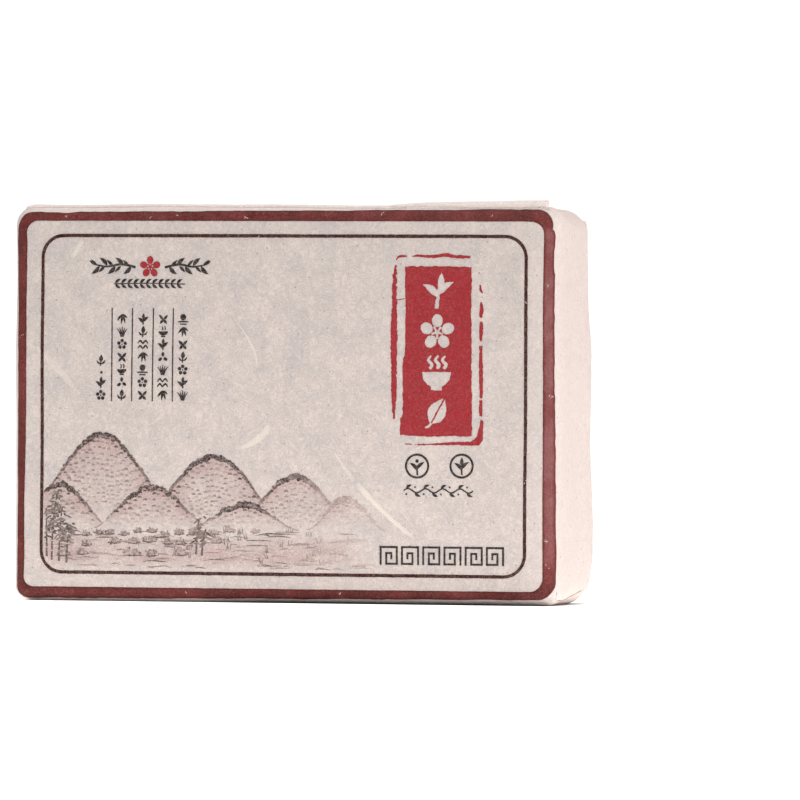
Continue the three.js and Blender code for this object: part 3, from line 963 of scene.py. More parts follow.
def dark_print():
    """All the small grey marks, with edges a little uneven."""
    plain = verse_columns() + heading_sprigs() + vine_line() + fret_row()
    shapes = [(ragged(o, 0.03, 100 + i, 0.7, 0.5), (), 1.0) for i, o in enumerate(plain)]
    return printed("dark_print", shapes + leaf_roundels(), PRINT_LIFT)


# ------------------------------------------------------------------ the tea hills

FEET = -37.5  # of the hills
PICTURE_LEFT, PICTURE_RIGHT, GROUND_FOOT = -75.9, 30, -50.4
WASH_OVERLAP = 1.5  # of the ground under the hills
GROUND_MARK = 100.0  # marks the ground's faces until they get their tone
# Middle, top and half width of each rounded hill, from the furthest to the nearest
HILLS = [(-57.0, -8.8, 27), (-22.0, -15.0, 25), (4.0, -21.0, 20), (20.0, -27.5, 12),
         (-70.0, -24.0, 16), (-41.0, -24.5, 19), (-12.0, -29.5, 17)]
BUSH_PITCH, TERRACE, TERRACES = 1.5, 1.75, 14
# Rows of nearer bushes: height, size, first and last place, and pitch
BUSH_ROWS = ((-39.2, 1.5, -70, -6, 4.1), (-42.0, 1.9, -73, -18, 5.2), (-45.6, 2.3, -70, -30, 7.4))
# Bamboo stalks: place, foot, height and lean
STALKS = ((-72.6, -47.5, 21, 1.6), (-70.3, -48.0, 17, 1.0), (-74.2, -46.5, 15, -0.3),
          (-67.9, -48.4, 12, 1.2), (-27.0, -45.5, 11, 0.9), (-25.2, -45.8, 8.5, 1.3))


def crest(hill, x):
    """Height of a hill's outline."""
    middle, top, half = HILLS[hill]
    t = np.clip(np.abs(x - middle) / half, 0, 1)
    round_top = (0.5 + 0.5 * np.cos(math.pi * t)) ** 0.8
    return FEET + (top - FEET) * round_top + 0.3 * noise_along(x, 2.3, 120 + hill)


def hidden(hill, x, z):
    """Whether a nearer hill covers this place of a hill."""
    cover = np.zeros(np.shape(x), bool)
    for nearer in range(hill + 1, len(HILLS)):
        cover |= (z < crest(nearer, x)) & (np.abs(x - HILLS[nearer][0]) < HILLS[nearer][2])
    return cover


def within_line(x, z):
    """How far inside the thin line's rounded corner a place lies, in mm."""
    (mx, mz), (wide, tall) = LINE_MIDDLE, LINE_SIZE
    dx = np.abs(x - mx) - (wide / 2 - LINE_RADIUS)
    dz = np.abs(z - mz) - (tall / 2 - LINE_RADIUS)
    out = np.hypot(np.maximum(dx, 0), np.maximum(dz, 0)) + np.minimum(np.maximum(dx, dz), 0)
    return LINE_RADIUS - out


def fading(x):
    """The picture grows fainter to the right."""
    return 1 - 0.62 * smooth(x, -8, PICTURE_RIGHT)


def hill_shape(hill):
    """A hill's outline, down to a little below its foot."""
    middle, _, half = HILLS[hill]
    x = np.linspace(max(middle - half, PICTURE_LEFT), middle + half, 60)
    low = FEET - WASH_OVERLAP
    return np.concatenate([np.stack([x, crest(hill, x)], -1), [(x[-1], low), (x[0], low)]])


def hills_wash():
    """Soft rosy colour over the hills and the ground at their feet."""
    shapes = [(hill_shape(h), (), 1.0 + h) for h in range(len(HILLS))]
    ground = bar(PICTURE_LEFT, GROUND_FOOT, PICTURE_RIGHT, FEET - WASH_OVERLAP)
    shapes.append((ground, (), GROUND_MARK))
    made = printed("hills_wash", shapes, WASH_LIFT, pitch=1.4)
    mesh = made.data
    number = np.empty(len(mesh.loops), np.float32)
    mesh.attributes["tone"].data.foreach_get("value", number)
    place = np.empty(len(mesh.loops) * 2, np.float32)
    mesh.uv_layers["Sheet"].data.foreach_get("uv", place)
    x, z = place.reshape(-1, 2).T.astype(float)
    tone = np.zeros(len(x))
    cloudy = 0.5 + 0.5 * value_noise(np.stack([x, z * 1.8], -1), 6, 130)
    for hill in range(len(HILLS)):
        depth = np.maximum(crest(hill, x) - z, 0)
        shade = 0.12 + 0.5 * np.exp(-depth / 3.0) + 0.34 * cloudy * np.exp(-depth / 13)
        shade = shade * smooth(z, FEET - WASH_OVERLAP, FEET + 7)
        tone = np.where(np.round(number) == hill + 1, shade, tone)
    ground_tone = 0.12 + 0.5 * cloudy * np.exp(-((z + 45) / 5) ** 2)
    ground_tone = (ground_tone * smooth(z, GROUND_FOOT, -47)
                   * (1 - smooth(z, -41, FEET - WASH_OVERLAP)))
    tone = np.where(number > GROUND_MARK / 2, ground_tone, tone)
    tone = tone * fading(x) * (1 - smooth(x, 18, PICTURE_RIGHT))
    tone = tone * smooth(within_line(x, z), 0, 1.5)
    mesh.attributes["tone"].data.foreach_set("value", tone.astype(np.float32))
    return made


def tea_rows(rng):
    """Terraces of small round bushes, and the rough dark brushwork of each crest."""
    shapes = []
    arc = np.linspace(0, math.pi, 6)
    dome = np.stack([np.cos(arc), np.sin(arc)], -1)
    for hill, (middle, top, half) in enumerate(HILLS):
        x = np.arange(middle - half, middle + half, 0.42)
        x = x[(x > -75) & ~hidden(hill, x, crest(hill, x))]
        ridge, slopes = crest(hill, x), crest(hill, x + 0.5) - crest(hill, x - 0.5)
        heights = np.clip((ridge - FEET) / (top - FEET), 0, 1)
        for at, edge, slope, high in zip(x, ridge, slopes, heights):
            for _ in range(2):
                if rng.random() > 0.4 + 0.6 * high:
                    continue
                base = np.array([at, edge - 0.1 + rng.uniform(-1.5, 0.1) * high])
                along = np.array([1.0, slope]) / math.hypot(1, slope) * rng.uniform(0.45, 1.0)
                dab = leaf(base - along, base + along, rng.uniform(0.45, 0.55 + 0.65 * high))
                dark = (0.5 + 0.6 * high * rng.uniform(0.7, 1.1)) * float(fading(at))
                shapes.append((dab, (), min(1, dark)))
        for row in range(TERRACES):
            down = 1.1 + TERRACE * row * (1 - 0.012 * row)
            at = np.arange(middle - half, middle + half, BUSH_PITCH) + rng.uniform(0, 1)
            at = at + rng.normal(0, 0.14, len(at))
            z = crest(hill, at) - down - 0.5 * smooth(row, 0, 8) + 0.15 * rng.normal(0, 1, len(at))
            keep = (z > FEET + 0.5) & (at > -75.0) & (at < 29) & ~hidden(hill, at, z + 0.9)
            for cx, cz in zip(at[keep], z[keep]):
                strength = (0.5 + 0.6 * math.exp(-down / 5)) * fading(cx) * rng.uniform(0.6, 1.15)
                strength *= smooth(cz, FEET - 3, FEET + 7)
                if strength > 0.1 and rng.random() > 0.1:
                    size = rng.uniform(0.5, 0.78) * (1 + 0.12 * (hill > 3))
                    outline = dome * (size, size * rng.uniform(0.7, 1.1)) + (cx, cz)
                    shapes.append((outline, (), min(strength, 1)))
    return shapes


def round_bush(rng, x, z, size, strength):
    """A nearer bush: a rosy dome, dark with leaves towards its foot."""
    arc = np.linspace(0, math.pi, 9)
    body = np.stack([x + size * np.cos(arc), z + size * 0.85 * np.sin(arc)], -1)
    body += rng.normal(0, 0.07 * size, body.shape)
    shapes = [(body, (), 0.38 * strength)]
    for _ in range(int(10 + 9 * size)):
        angle, reach = rng.uniform(0, math.pi), size * math.sqrt(rng.uniform(0.05, 1.1))
        rise = 0.85 * reach * math.sin(angle)
        base = np.array([x + reach * math.cos(angle), z + rise])
        turn = rng.uniform(0, 2 * math.pi)
        tip = base + rng.uniform(0.6, 1.0) * np.array([math.cos(turn), math.sin(turn)])
        dark = strength * rng.uniform(0.65, 1) * (1 - 0.35 * rise / size)
        shapes.append((leaf(base, tip, rng.uniform(0.4, 0.6)), (), dark))
    shapes.append((stroke([(x - size, z), (x, z - 0.2), (x + size * 1.1, z + 0.05)],
                          [0.2, 0.5, 0.2]), (), 0.9 * strength))
    return shapes


def bamboo(rng, x, foot, tall, lean):
    """A jointed stalk with drooping leaves towards its top."""
    shapes, count = [], max(3, round(tall / 3.2))
    for k in range(count):
        a, b = (k + 0.06) / count, (k + 0.94) / count
        path = [(x + lean * a * a, foot + tall * a), (x + lean * b * b, foot + tall * b)]
        shapes.append((stroke(path, [0.7 - 0.25 * a, 0.6 - 0.25 * a]), (), 0.9))
    for _ in range(int(tall * 2.4)):
        t = rng.uniform(0.4, 1.0)
        base = np.array([x + lean * t * t, foot + tall * t]) + rng.normal(0, 0.5, 2)
        side = rng.choice((-1, 1))
        tip = base + (side * rng.uniform(0.9, 2.0), rng.uniform(-1.3, 0.1))
        shapes.append((leaf(base, tip, rng.uniform(0.5, 0.75)), (), rng.uniform(0.7, 1.0)))
    return shapes


def ground_strokes(rng):
    """Field banks, ripples and tufts, growing fainter to the right."""
    shapes = []
    for _ in range(150):
        x, z = rng.uniform(-74, 24), rng.uniform(-49.6, -38.5)
        long = rng.uniform(2.0, 8.5)
        bow = rng.uniform(-0.1, 0.45)
        path = [(x, z), (x + 0.35 * long, z + bow),
                (x + 0.7 * long, z + 0.6 * bow + rng.normal(0, 0.12)),
                (x + long, z + rng.normal(0, 0.25))]
        wide = rng.uniform(0.22, 0.55)
        shapes.append((stroke(path, [0.08, wide, wide * 0.8, 0.06], 0.8), (),
                       rng.uniform(0.35, 0.95) * float(fading(x))))
    for _ in range(26):
        x, z = rng.uniform(-30, 24), rng.uniform(-48.5, -37.0)
        for _ in range(rng.integers(3, 6)):
            lean = rng.normal(0, 0.6)
            blade = [(x, z), (x + 0.4 * lean, z + 0.8), (x + lean, z + rng.uniform(1.2, 2.2))]
            shapes.append((stroke(blade, [0.24, 0.2, 0.08]), (), 0.75 * float(fading(x))))
            x += rng.uniform(0.2, 0.5)
    return shapes


def hills_print():
    """The picture's brushwork: terraced hills, field strokes, bushes and bamboo."""
    rng = np.random.default_rng(140)
    shapes = tea_rows(rng) + ground_strokes(rng)
    for z, size, start, end, pitch in BUSH_ROWS:
        for x in np.arange(start, end, pitch):
            if rng.random() > 0.2:
                strength = 1.0 - 0.35 * smooth(x, -35, 0)
                shapes += round_bush(rng, x + rng.normal(0, 0.6), z + rng.normal(0, 0.4),
                                     size * rng.uniform(0.75, 1.15), strength)
    for stalk in STALKS:
        shapes += bamboo(rng, *stalk)
    kept = []
    for outline, holes, strength in shapes:
        if within_line(*outline.T).min() > 0.55 and strength > 0.05:
            kept.append((outline, holes, min(float(strength), 1.0)))
    return printed("hills_print", kept, PRINT_LIFT)


# ------------------------------------------------------------------ pale fibres in the paper

# Each strand's points, widths, strength and seed
STRANDS = (
    ([(-66.8, 43.6), (-65.0, 46.6), (-63.2, 49.4)], [1.3, 2.0, 1.3], 0.85, 150),
    ([(-63.0, 49.8), (-60.2, 52.3), (-57.4, 54.4)], [1.1, 1.4, 1.0], 0.4, 186),
    ([(-16.3, 26.3), (-13.0, 22.6), (-10.0, 17.8), (-8.5, 14.2), (-8.3, 10.6)],
     [0.3, 0.5, 1.0, 0.9, 0.5], 0.8, 152),
    ([(-8.4, 10.8), (-6.9, 7.6), (-5.2, 5.6)], [0.4, 0.5, 0.3], 0.4, 154),
    ([(-14.0, -13.6), (-10.2, -12.0), (-6.4, -9.4), (-3.4, -5.4)], [0.9, 2.5, 2.8, 1.3], 1.0, 156),
    ([(-3.6, -5.6), (-2.9, -3.0), (-4.3, -0.6)], [0.6, 0.5, 0.3], 0.35, 158),
    ([(15.6, -13.6), (19.2, -18.6), (23.0, -23.6)], [0.6, 1.4, 1.9], 0.7, 160),
    ([(22.6, -23.0), (32.0, -32.4), (42.0, -40.6)], [2.0, 1.9, 1.3], 1.0, 162),
    ([(36.0, -30.5), (41.5, -37.5), (44.8, -46.0)], [0.4, 0.6, 0.4], 0.45, 164),
    ([(-82.0, 18.5), (-76.5, 15.6), (-70.8, 10.0), (-64.8, 3.6)], [0.8, 1.8, 2.6, 1.4], 0.55, 166),
    ([(52.9, 48.2), (55.8, 49.3), (58.4, 49.5)], [0.35, 0.6, 0.4], 0.45, 168),
    ([(-41.5, -6.5), (-38.6, -4.2), (-36.6, -2.0)], [0.6, 1.3, 0.7], 0.4, 170),
    ([(-18.0, 44.6), (-12.0, 45.6), (-6.8, 44.4)], [0.4, 0.6, 0.4], 0.3, 172),
    ([(-5.2, 48.0), (-4.1, 46.6)], [0.8, 0.9], 0.45, 174),
    ([(-27.5, 53.5), (-26.0, 50.4)], [0.4, 0.5], 0.3, 176),
    ([(8.0, 33.0), (14.5, 29.5), (19.0, 23.0)], [0.3, 0.55, 0.3], 0.28, 178),
    ([(66.5, -6.0), (69.6, -12.5), (70.2, -20.0)], [0.4, 0.8, 0.4], 0.3, 180),
    ([(49.5, -44.6), (58.0, -38.6), (66.5, -36.8)], [0.3, 0.6, 0.3], 0.25, 182),
    ([(-57.0, -3.0), (-61.0, -1.6), (-66.2, -3.4)], [0.3, 0.7, 0.3], 0.3, 184),
)


def strand(points, widths, strength, seed):
    """One long pale fibre: a flat ribbon that fades at its edges and its ends."""
    length = np.linalg.norm(np.diff(np.asarray(points, float), axis=0), axis=1).sum()
    count = max(8, int(length / 0.5))
    line = curve(points, count)
    along = np.gradient(line, axis=0)
    normal = np.stack([-along[:, 1], along[:, 0]], -1) / np.linalg.norm(along, axis=1)[:, None]
    share = np.linspace(0, 1, count)
    width = np.interp(share, np.linspace(0, 1, len(widths)), widths) / 2
    width = width * (1 + 0.25 * noise_along(share * length, 1.5, seed))
    across = np.linspace(-1, 1, 9)
    flat = line[:, None] + normal[:, None] * (width[:, None] * across)[..., None]
    fade = smooth(share, 0, 0.15) * (1 - smooth(share, 0.85, 1))
    place = np.stack(np.broadcast_arrays(share[:, None] * length / 6, across * 2), -1)
    streaks = 0.8 + 0.2 * value_noise(place, 1.0, seed + 1)
    tone = strength * fade[:, None] * (1 - np.abs(across) ** 2.5) * streaks
    return flat, tone


def bark_strands():
    """Long pale fibres of bark felted into the paper."""
    points, faces, tones, normals, sheets, count = [], [], [], [], [], 0
    for number, row in enumerate(STRANDS):
        flat, tone = strand(*row)
        lift = STRAND_LIFT + STRAND_STEP * (number % 3 - 1)
        spots, up, sheet = on_front(flat[..., 0].ravel(), flat[..., 1].ravel(), lift)
        quads = quad_grid(*tone.shape)
        a, b, c = (flat.reshape(-1, 2)[quads[0, k]] for k in range(3))
        if (b - a)[0] * (c - a)[1] - (b - a)[1] * (c - a)[0] < 0:
            quads = quads[:, ::-1]
        sheets.append(sheet[quads].reshape(-1, 2))
        tones.append(tone.ravel()[quads].ravel())
        faces.append(quads + count)
        points.append(spots)
        normals.append(up)
        count += len(spots)
    return piece("bark_strands", np.concatenate(points), np.concatenate(faces),
                 np.concatenate(sheets), np.concatenate(tones), np.concatenate(normals))


def fold_lines():
    """Painted shade: fine dark lines along the lower edge of the right flap and round the edge of
    the ear, where the folded paper casts thin shadow lines.
    """
    t = np.linspace(0, 1, 40)
    end = HALF_X + 0 * t
    back = lerp(2.6, 30, t)
    stand = np.maximum(flap_lift(back / FLAP_REACH, 0 * t, 1) + 0.03, 0.03)
    # Middle line, height over the paper, width along x, y and z, and strength
    rows = [((end, back - HALF_Y, flap_foot(back) + 0.22), stand, (0, 0, 0.55), 1.0),
            ((end, lerp(2.15, 2.5, t) - HALF_Y, lerp(4.4, 0.9, t) - HALF_Z),
             0 * t + 0.05, (0, 1.1, 0), 1.0),
            ((lerp(HALF_X - 0.5, HALF_X, t), lerp(0, 1.9, t) - HALF_Y, lerp(5.4, 3.9, t) - HALF_Z),
             0 * t + 0.04, (0, 0, 0.4), 0.8)]
    across, across_fade = np.array([-0.5, 0, 0.5]), np.array([0.25, 1, 0.25])
    points, faces, tones, sheets = [], [], [], []
    for middle, lift, wide, strength in rows:
        spots = skin(*(v[:, None] + w * across for v, w in zip(middle, wide)), lift[:, None])
        faces.append(quad_grid(len(t), 3, 3 * len(t) * len(faces)))
        fade = smooth(t, 0, 0.1) * (1 - smooth(t, 0.8, 1))
        tones.append((strength * fade[:, None] * across_fade).ravel())
        sheets.append(np.stack([HALF_X + middle[1] + HALF_Y, middle[2]], -1).repeat(3, 0))
        points.append(spots.reshape(-1, 3))
    faces, tones, sheets = np.concatenate(faces), np.concatenate(tones), np.concatenate(sheets)
    return piece("fold_lines", np.concatenate(points), faces, sheets[faces], tones[faces])


# ------------------------------------------------------------------ materials

PAPER = (0.655, 0.572, 0.533, 1)
PAPER_CREAM = (0.715, 0.622, 0.566, 1)
PAPER_LAVENDER = (0.588, 0.522, 0.502, 1)
PAPER_LIT = (0.84, 0.735, 0.685, 1)  # painted light: the lighter paper outside the printed border
PAPER_TOP_LIT = (0.92, 0.82, 0.765, 1)  # painted light: the sheets over the top, lighter as if lit from above
SPECK = (0.22, 0.16, 0.12, 1)

FIBRE_ANGLES, FIBRE_STRETCH = (0.3, 1.1, 1.95, 2.75), (0.62, 3.4, 1.0)
FIBRE_WANDER = 3.2  # mm
FIBRE_EDGE, WEAR_EDGE = (0.56, 0.74), (0.62, 0.95)  # levels of noise where a fibre or wear begins
PLAIN_LEVEL, LAVENDER_LEVEL, CREAM_LEVEL = 0.80, 0.35, 1.25  # of the clouded tint
SPECKS_PER_MM, SPECK_EDGE = 0.11, (0.03, 0.018)
FIBRE_CONTRAST, FIBRE_HEIGHT = 0.11, 4e-5  # of the colour, and of the relief in metres
LIT_BESIDE, LIT_OVER = (82.0, 84.0), (55.8, 57.4)  # where the printed face's painted shade ends and the lighter paper begins, on the sheet
LIGHTER_TO_RIGHT = (73.0, 79.0)  # where the paper is painted lighter towards the right, as painted light
PAPER_ROUGHNESS, PAPER_SPECULAR, INK_SPECULAR = 0.9, 0.2, 0.15

PALE_BARK, ROSY_WASH = [(0, (0.85, 0.765, 0.665, 1))], [(0, (0.42, 0.20, 0.185, 1))]
PICTURE_INK = [(0.35, (0.25, 0.075, 0.065, 1)), (0.9, (0.058, 0.034, 0.031, 1))]
MAROON = [(0.69, (0.25, 0.052, 0.056, 1)), (0.86, (0.162, 0.028, 0.024, 1)),
          (1.0, (0.08, 0.012, 0.011, 1))]
DARK_MAROON, SEAL_RED = [(0, (0.05, 0.009, 0.008, 1))], [(0, (0.365, 0.026, 0.033, 1))]
# Painted shade: the colour of the thin shadow lines along the folds
FOLD_SHADE = [(0, (0.17, 0.095, 0.07, 1))]
GREY, FLECK = [(0, (0.028, 0.021, 0.020, 1))], [(0, (0.62, 0.45, 0.40, 1))]
# What makes each print or painted shade, its finish and colours, and its wear, unevenness,
# roughness and the strength at which it covers the paper
INKS = (
    (bark_strands, "pale_bark", PALE_BARK, 0.2, 0.1, 0.75, 1.0),
    (hills_wash, "rosy_wash", ROSY_WASH, 0.4, 0.5, 0.85, 1.0),
    (hills_print, "picture_ink", PICTURE_INK, 0.3, 0.5, 0.7, 1.0),
    (border_print, "maroon_ink", MAROON, 0.05, 0.7, 0.55, 0.78),
    (line_print, "dark_maroon_ink", DARK_MAROON, 0.12, 0.7, 0.5, 1.0),
    (seal_print, "seal_ink", SEAL_RED, 0.06, 0.4, 0.6, 1.0),
    (dark_print, "grey_ink", GREY, 0.12, 0.5, 0.6, 1.0),
    (fold_lines, "fold_dust", FOLD_SHADE, 0.3, 0.3, 0.9, 1.0),
    (print_flecks, "fleck_paper", FLECK, 0.1, 0.3, 0.8, 1.0),
)


def node(tree, kind, settings=None, **inputs):
    """Adds a node. i0, i1 ... are its inputs in order: a value or another node's socket."""
    made = tree.nodes.new(kind)
    for key, value in (settings or {}).items():
        setattr(made, key, value)
    for key, value in inputs.items():
        socket = made.inputs[int(key[1:])]
        if isinstance(value, bpy.types.NodeSocket):
            tree.links.new(value, socket)
        else:
            socket.default_value = value
    return made


def maths(tree, operation, a, b=0.0):
    """One sum of two values or sockets."""
    return node(tree, "ShaderNodeMath", {"operation": operation}, i0=a, i1=b).outputs[0]


def vector_maths(tree, operation, *values):
    """One sum of vectors."""
    given = {f"i{number}": value for number, value in enumerate(values)}
    return node(tree, "ShaderNodeVectorMath", {"operation": operation}, **given).outputs[0]


def weighted(tree, *terms):
    """The sum of sockets, each times its own weight."""
    total = None
    for socket, weight in terms:
        part = maths(tree, "MULTIPLY", socket, weight)
        total = part if total is None else maths(tree, "ADD", total, part)
    return total


def mask(tree, value, low, high, floor=0.0, ceiling=1.0):
    """A smooth step from floor at low to ceiling at high."""
    return node(tree, "ShaderNodeMapRange", {"interpolation_type": "SMOOTHSTEP"},
                i0=value, i1=low, i2=high, i3=floor, i4=ceiling).outputs[0]


def blend(tree, factor, a, b):
    """A mix of two colours."""
    return node(tree, "ShaderNodeMix", {"data_type": "RGBA"}, i0=factor, i6=a, i7=b).outputs[2]


def brighten(tree, colour, factor):
    """A colour times a value."""
    scaled = node(tree, "ShaderNodeVectorMath", {"operation": "SCALE"}, i0=colour)
    tree.links.new(factor, scaled.inputs["Scale"])
    return scaled.outputs[0]


def noise(tree, vector, scale, detail=0.0, roughness=0.5):
    """Noise over the sheet."""
    made = node(tree, "ShaderNodeTexNoise", {"noise_dimensions": "2D"}, i0=vector)
    made.inputs["Scale"].default_value = scale
    made.inputs["Detail"].default_value = detail
    made.inputs["Roughness"].default_value = roughness
    return made


def new_group(name, inputs, outputs):
    """An empty node group, with the sockets that it is given and that it gives."""
    tree = bpy.data.node_groups.new(name, "ShaderNodeTree")
    for label, kind in inputs:
        tree.interface.new_socket(label, in_out="INPUT", socket_type="NodeSocket" + kind)
    for label, kind in outputs:
        tree.interface.new_socket(label, in_out="OUTPUT", socket_type="NodeSocket" + kind)
    return tree, tree.nodes.new("NodeGroupInput").outputs, tree.nodes.new("NodeGroupOutput").inputs


def felted_paper_group():
    """Short fibres lying every way, soft cream and lavender patches, and a few dark specks. The
    printed face is painted a little darker all over, as painted shade, and outside its border and
    towards its right the paper is painted lighter, as painted light.
    Sheet is the place on the unrolled paper in mm."""
    tree, given, result = new_group(
        "Felted paper",
        [("Sheet", "Vector"), ("Paper", "Color"), ("Cream", "Color"), ("Lavender", "Color"),
         ("Lit", "Color"), ("Contrast", "Float")],
        [("Color", "Color"), ("Fibres", "Float"), ("Height", "Float")])
    sheet = given["Sheet"]
    drift = noise(tree, sheet, 0.5).outputs["Color"]
    drift = vector_maths(tree, "SUBTRACT", drift, (0.5, 0.5, 0.5))
    drift = node(tree, "ShaderNodeVectorMath", {"operation": "SCALE"}, i0=drift)
    drift.inputs["Scale"].default_value = FIBRE_WANDER
    wandering = vector_maths(tree, "ADD", sheet, drift.outputs[0])
    fibres = None
    for number, angle in enumerate(FIBRE_ANGLES):
        turned = node(tree, "ShaderNodeVectorRotate", {"rotation_type": "Z_AXIS"}, i0=wandering)
        turned.inputs["Angle"].default_value = angle
        drawn = vector_maths(tree, "MULTIPLY_ADD", turned.outputs[0], FIBRE_STRETCH,
                             (17.3 * number, 5.1 * number, 0.0))
        one = mask(tree, noise(tree, drawn, 1.0).outputs[0], *FIBRE_EDGE)
        fibres = one if fibres is None else maths(tree, "MAXIMUM", fibres, one)
    grain = noise(tree, sheet, 2.3, 2.0, 0.65).outputs[0]
    mottle = noise(tree, sheet, 0.6, 2.0, 0.6).outputs[0]
    cloud = noise(tree, sheet, 0.12, 3.0, 0.65).outputs[0]
    relief = weighted(tree, (fibres, 0.8), (grain, 1.6), (mottle, 0.8))
    relief = maths(tree, "SUBTRACT", relief, 1.55)  # about 0 on the whole
    tint = weighted(tree, (relief, 0.45), (cloud, 1.6))
    lavender, cream = (mask(tree, tint, PLAIN_LEVEL, full)
                       for full in (LAVENDER_LEVEL, CREAM_LEVEL))
    colour = blend(tree, lavender, given["Paper"], given["Lavender"])
    colour = blend(tree, cream, colour, given["Cream"])
    place = node(tree, "ShaderNodeSeparateXYZ", i0=sheet).outputs
    # Painted light: off the printed face and towards its right the paper is mixed towards the
    # lighter colour, and the printed face is left darker as painted shade
    beside = mask(tree, maths(tree, "ABSOLUTE", place[0]), *LIT_BESIDE)
    over = mask(tree, maths(tree, "ABSOLUTE", place[1]), *LIT_OVER)
    outside = maths(tree, "MULTIPLY", maths(tree, "MAXIMUM", beside, over), 0.85)
    lighter_to_right = mask(tree, place[0], *LIGHTER_TO_RIGHT, 0.0, 0.35)
    colour = blend(tree, maths(tree, "MAXIMUM", outside, lighter_to_right), colour, given["Lit"])
    lift = maths(tree, "MULTIPLY", relief, given["Contrast"])
    colour = brighten(tree, colour, maths(tree, "ADD", lift, 1.0))
    dots = node(tree, "ShaderNodeTexVoronoi", {"voronoi_dimensions": "2D"}, i0=sheet)
    dots.inputs["Scale"].default_value = SPECKS_PER_MM
    speck = mask(tree, dots.outputs["Distance"], *SPECK_EDGE, 0.0, 0.55)
    colour = blend(tree, speck, colour, SPECK)
    tree.links.new(colour, result["Color"])
    tree.links.new(fibres, result["Fibres"])
    tree.links.new(relief, result["Height"])
    return tree


def ink_group():
    """Ink on felted paper: it breaks up over raised fibres and varies in strength."""
    tree, given, result = new_group(
        "Ink on paper",
        [("Sheet", "Vector"), ("Paper", "Color"), ("Fibres", "Float"), ("Ink", "Color"),
         ("Tone", "Float"), ("Wear", "Float"), ("Unevenness", "Float")],
        [("Color", "Color"), ("Cover", "Float")])
    fine = noise(tree, given["Sheet"], 1.7, 3.0, 0.65).outputs[0]
    broad = noise(tree, given["Sheet"], 0.22, 2.0, 0.5).outputs[0]
    bare = maths(tree, "ADD", maths(tree, "MULTIPLY", given["Fibres"], 0.35), fine)
    bare = maths(tree, "MULTIPLY", mask(tree, bare, *WEAR_EDGE), given["Wear"])
    cover = maths(tree, "MULTIPLY", given["Tone"], maths(tree, "SUBTRACT", 1.0, bare))
    depth = maths(tree, "SUBTRACT", weighted(tree, (fine, 0.7), (broad, 0.5)), 0.6)
    depth = maths(tree, "ADD", maths(tree, "MULTIPLY", depth, given["Unevenness"]), 1.0)
    colour = blend(tree, cover, given["Paper"], brighten(tree, given["Ink"], depth))
    tree.links.new(colour, result["Color"])
    tree.links.new(cover, result["Cover"])
    return tree


def use_group(tree, group, values):
    """Places a group with its own values, and gives its outputs."""
    made = tree.nodes.new("ShaderNodeGroup")
    made.node_tree = group
    for label, value in values.items():
        if isinstance(value, bpy.types.NodeSocket):
            tree.links.new(value, made.inputs[label])
        else:
            made.inputs[label].default_value = value
    return made.outputs


def felted_base(name, felt, bare, roughness, specular):
    """A material of felted paper, with its shader, its sheet coordinates and the felt's outputs."""
    material = bpy.data.materials.new(name)
    material.use_nodes = True
    tree = material.node_tree
    shader = tree.nodes["Principled BSDF"]
    shader.inputs["Roughness"].default_value = roughness
    shader.inputs["Specular IOR Level"].default_value = specular
    sheet = node(tree, "ShaderNodeUVMap", {"uv_map": "Sheet"}).outputs[0]
    # bare is the lighter paper painted off the printed face and towards its right, as painted light
    made = use_group(tree, felt, {"Sheet": sheet, "Paper": PAPER, "Cream": PAPER_CREAM,
                                  "Lavender": PAPER_LAVENDER, "Lit": bare,
                                  "Contrast": FIBRE_CONTRAST})
    relief = node(tree, "ShaderNodeBump")
    relief.inputs["Strength"].default_value = 1.0
    relief.inputs["Distance"].default_value = FIBRE_HEIGHT
    tree.links.new(made["Height"], relief.inputs["Height"])
    tree.links.new(relief.outputs[0], shader.inputs["Normal"])
    return material, tree, shader, sheet, made


def mulberry_paper(name, felt, bare):
    """Plain felted paper. bare is the lighter colour painted on it off the printed face and towards
    its right, as painted light.
    """
    material, tree, shader, _, made = felted_base(name, felt, bare, PAPER_ROUGHNESS,
                                                  PAPER_SPECULAR)
    tree.links.new(made["Color"], shader.inputs["Base Color"])
    return material


def ink(name, felt, inking, colours, wear, uneven, roughness, solid):
    """Ink on the felt. colours are (strength, colour) from thinly laid to thick, and solid is the
    strength at which it covers the paper."""
    material, tree, shader, sheet, made = felted_base(name, felt, PAPER_LIT, roughness,
                                                      INK_SPECULAR)
    tone = node(tree, "ShaderNodeAttribute", {"attribute_name": "tone"}).outputs["Fac"]
    colour = colours[0][1]
    if len(colours) > 1:
        ramp = node(tree, "ShaderNodeValToRGB", i0=tone)
        stops = ramp.color_ramp.elements
        while len(stops) < len(colours):
            stops.new(0.5)
        for stop, (strength, shade) in zip(stops, colours):
            stop.position, stop.color = strength, shade
        colour = ramp.outputs[0]
    if solid < 1:
        tone = node(tree, "ShaderNodeMath", {"operation": "MULTIPLY", "use_clamp": True},
                    i0=tone, i1=1 / solid).outputs[0]
    laid = use_group(tree, inking, {"Sheet": sheet, "Paper": made["Color"],
                                    "Fibres": made["Fibres"], "Ink": colour, "Tone": tone,
                                    "Wear": wear, "Unevenness": uneven})
    tree.links.new(laid["Color"], shader.inputs["Base Color"])
    tree.links.new(mask(tree, laid["Cover"], 0.0, 1.0, PAPER_ROUGHNESS, roughness),
                   shader.inputs["Roughness"])
    return material


# ------------------------------------------------------------------ camera, lights and floor

CAMERA_PLACE = (0.90801, -3.06793, 0.07473)
CAMERA_TARGET = (0.03589, -0.02, 0.06117)
CAMERA_ROLL = math.radians(0.315)
LENS = 477.14


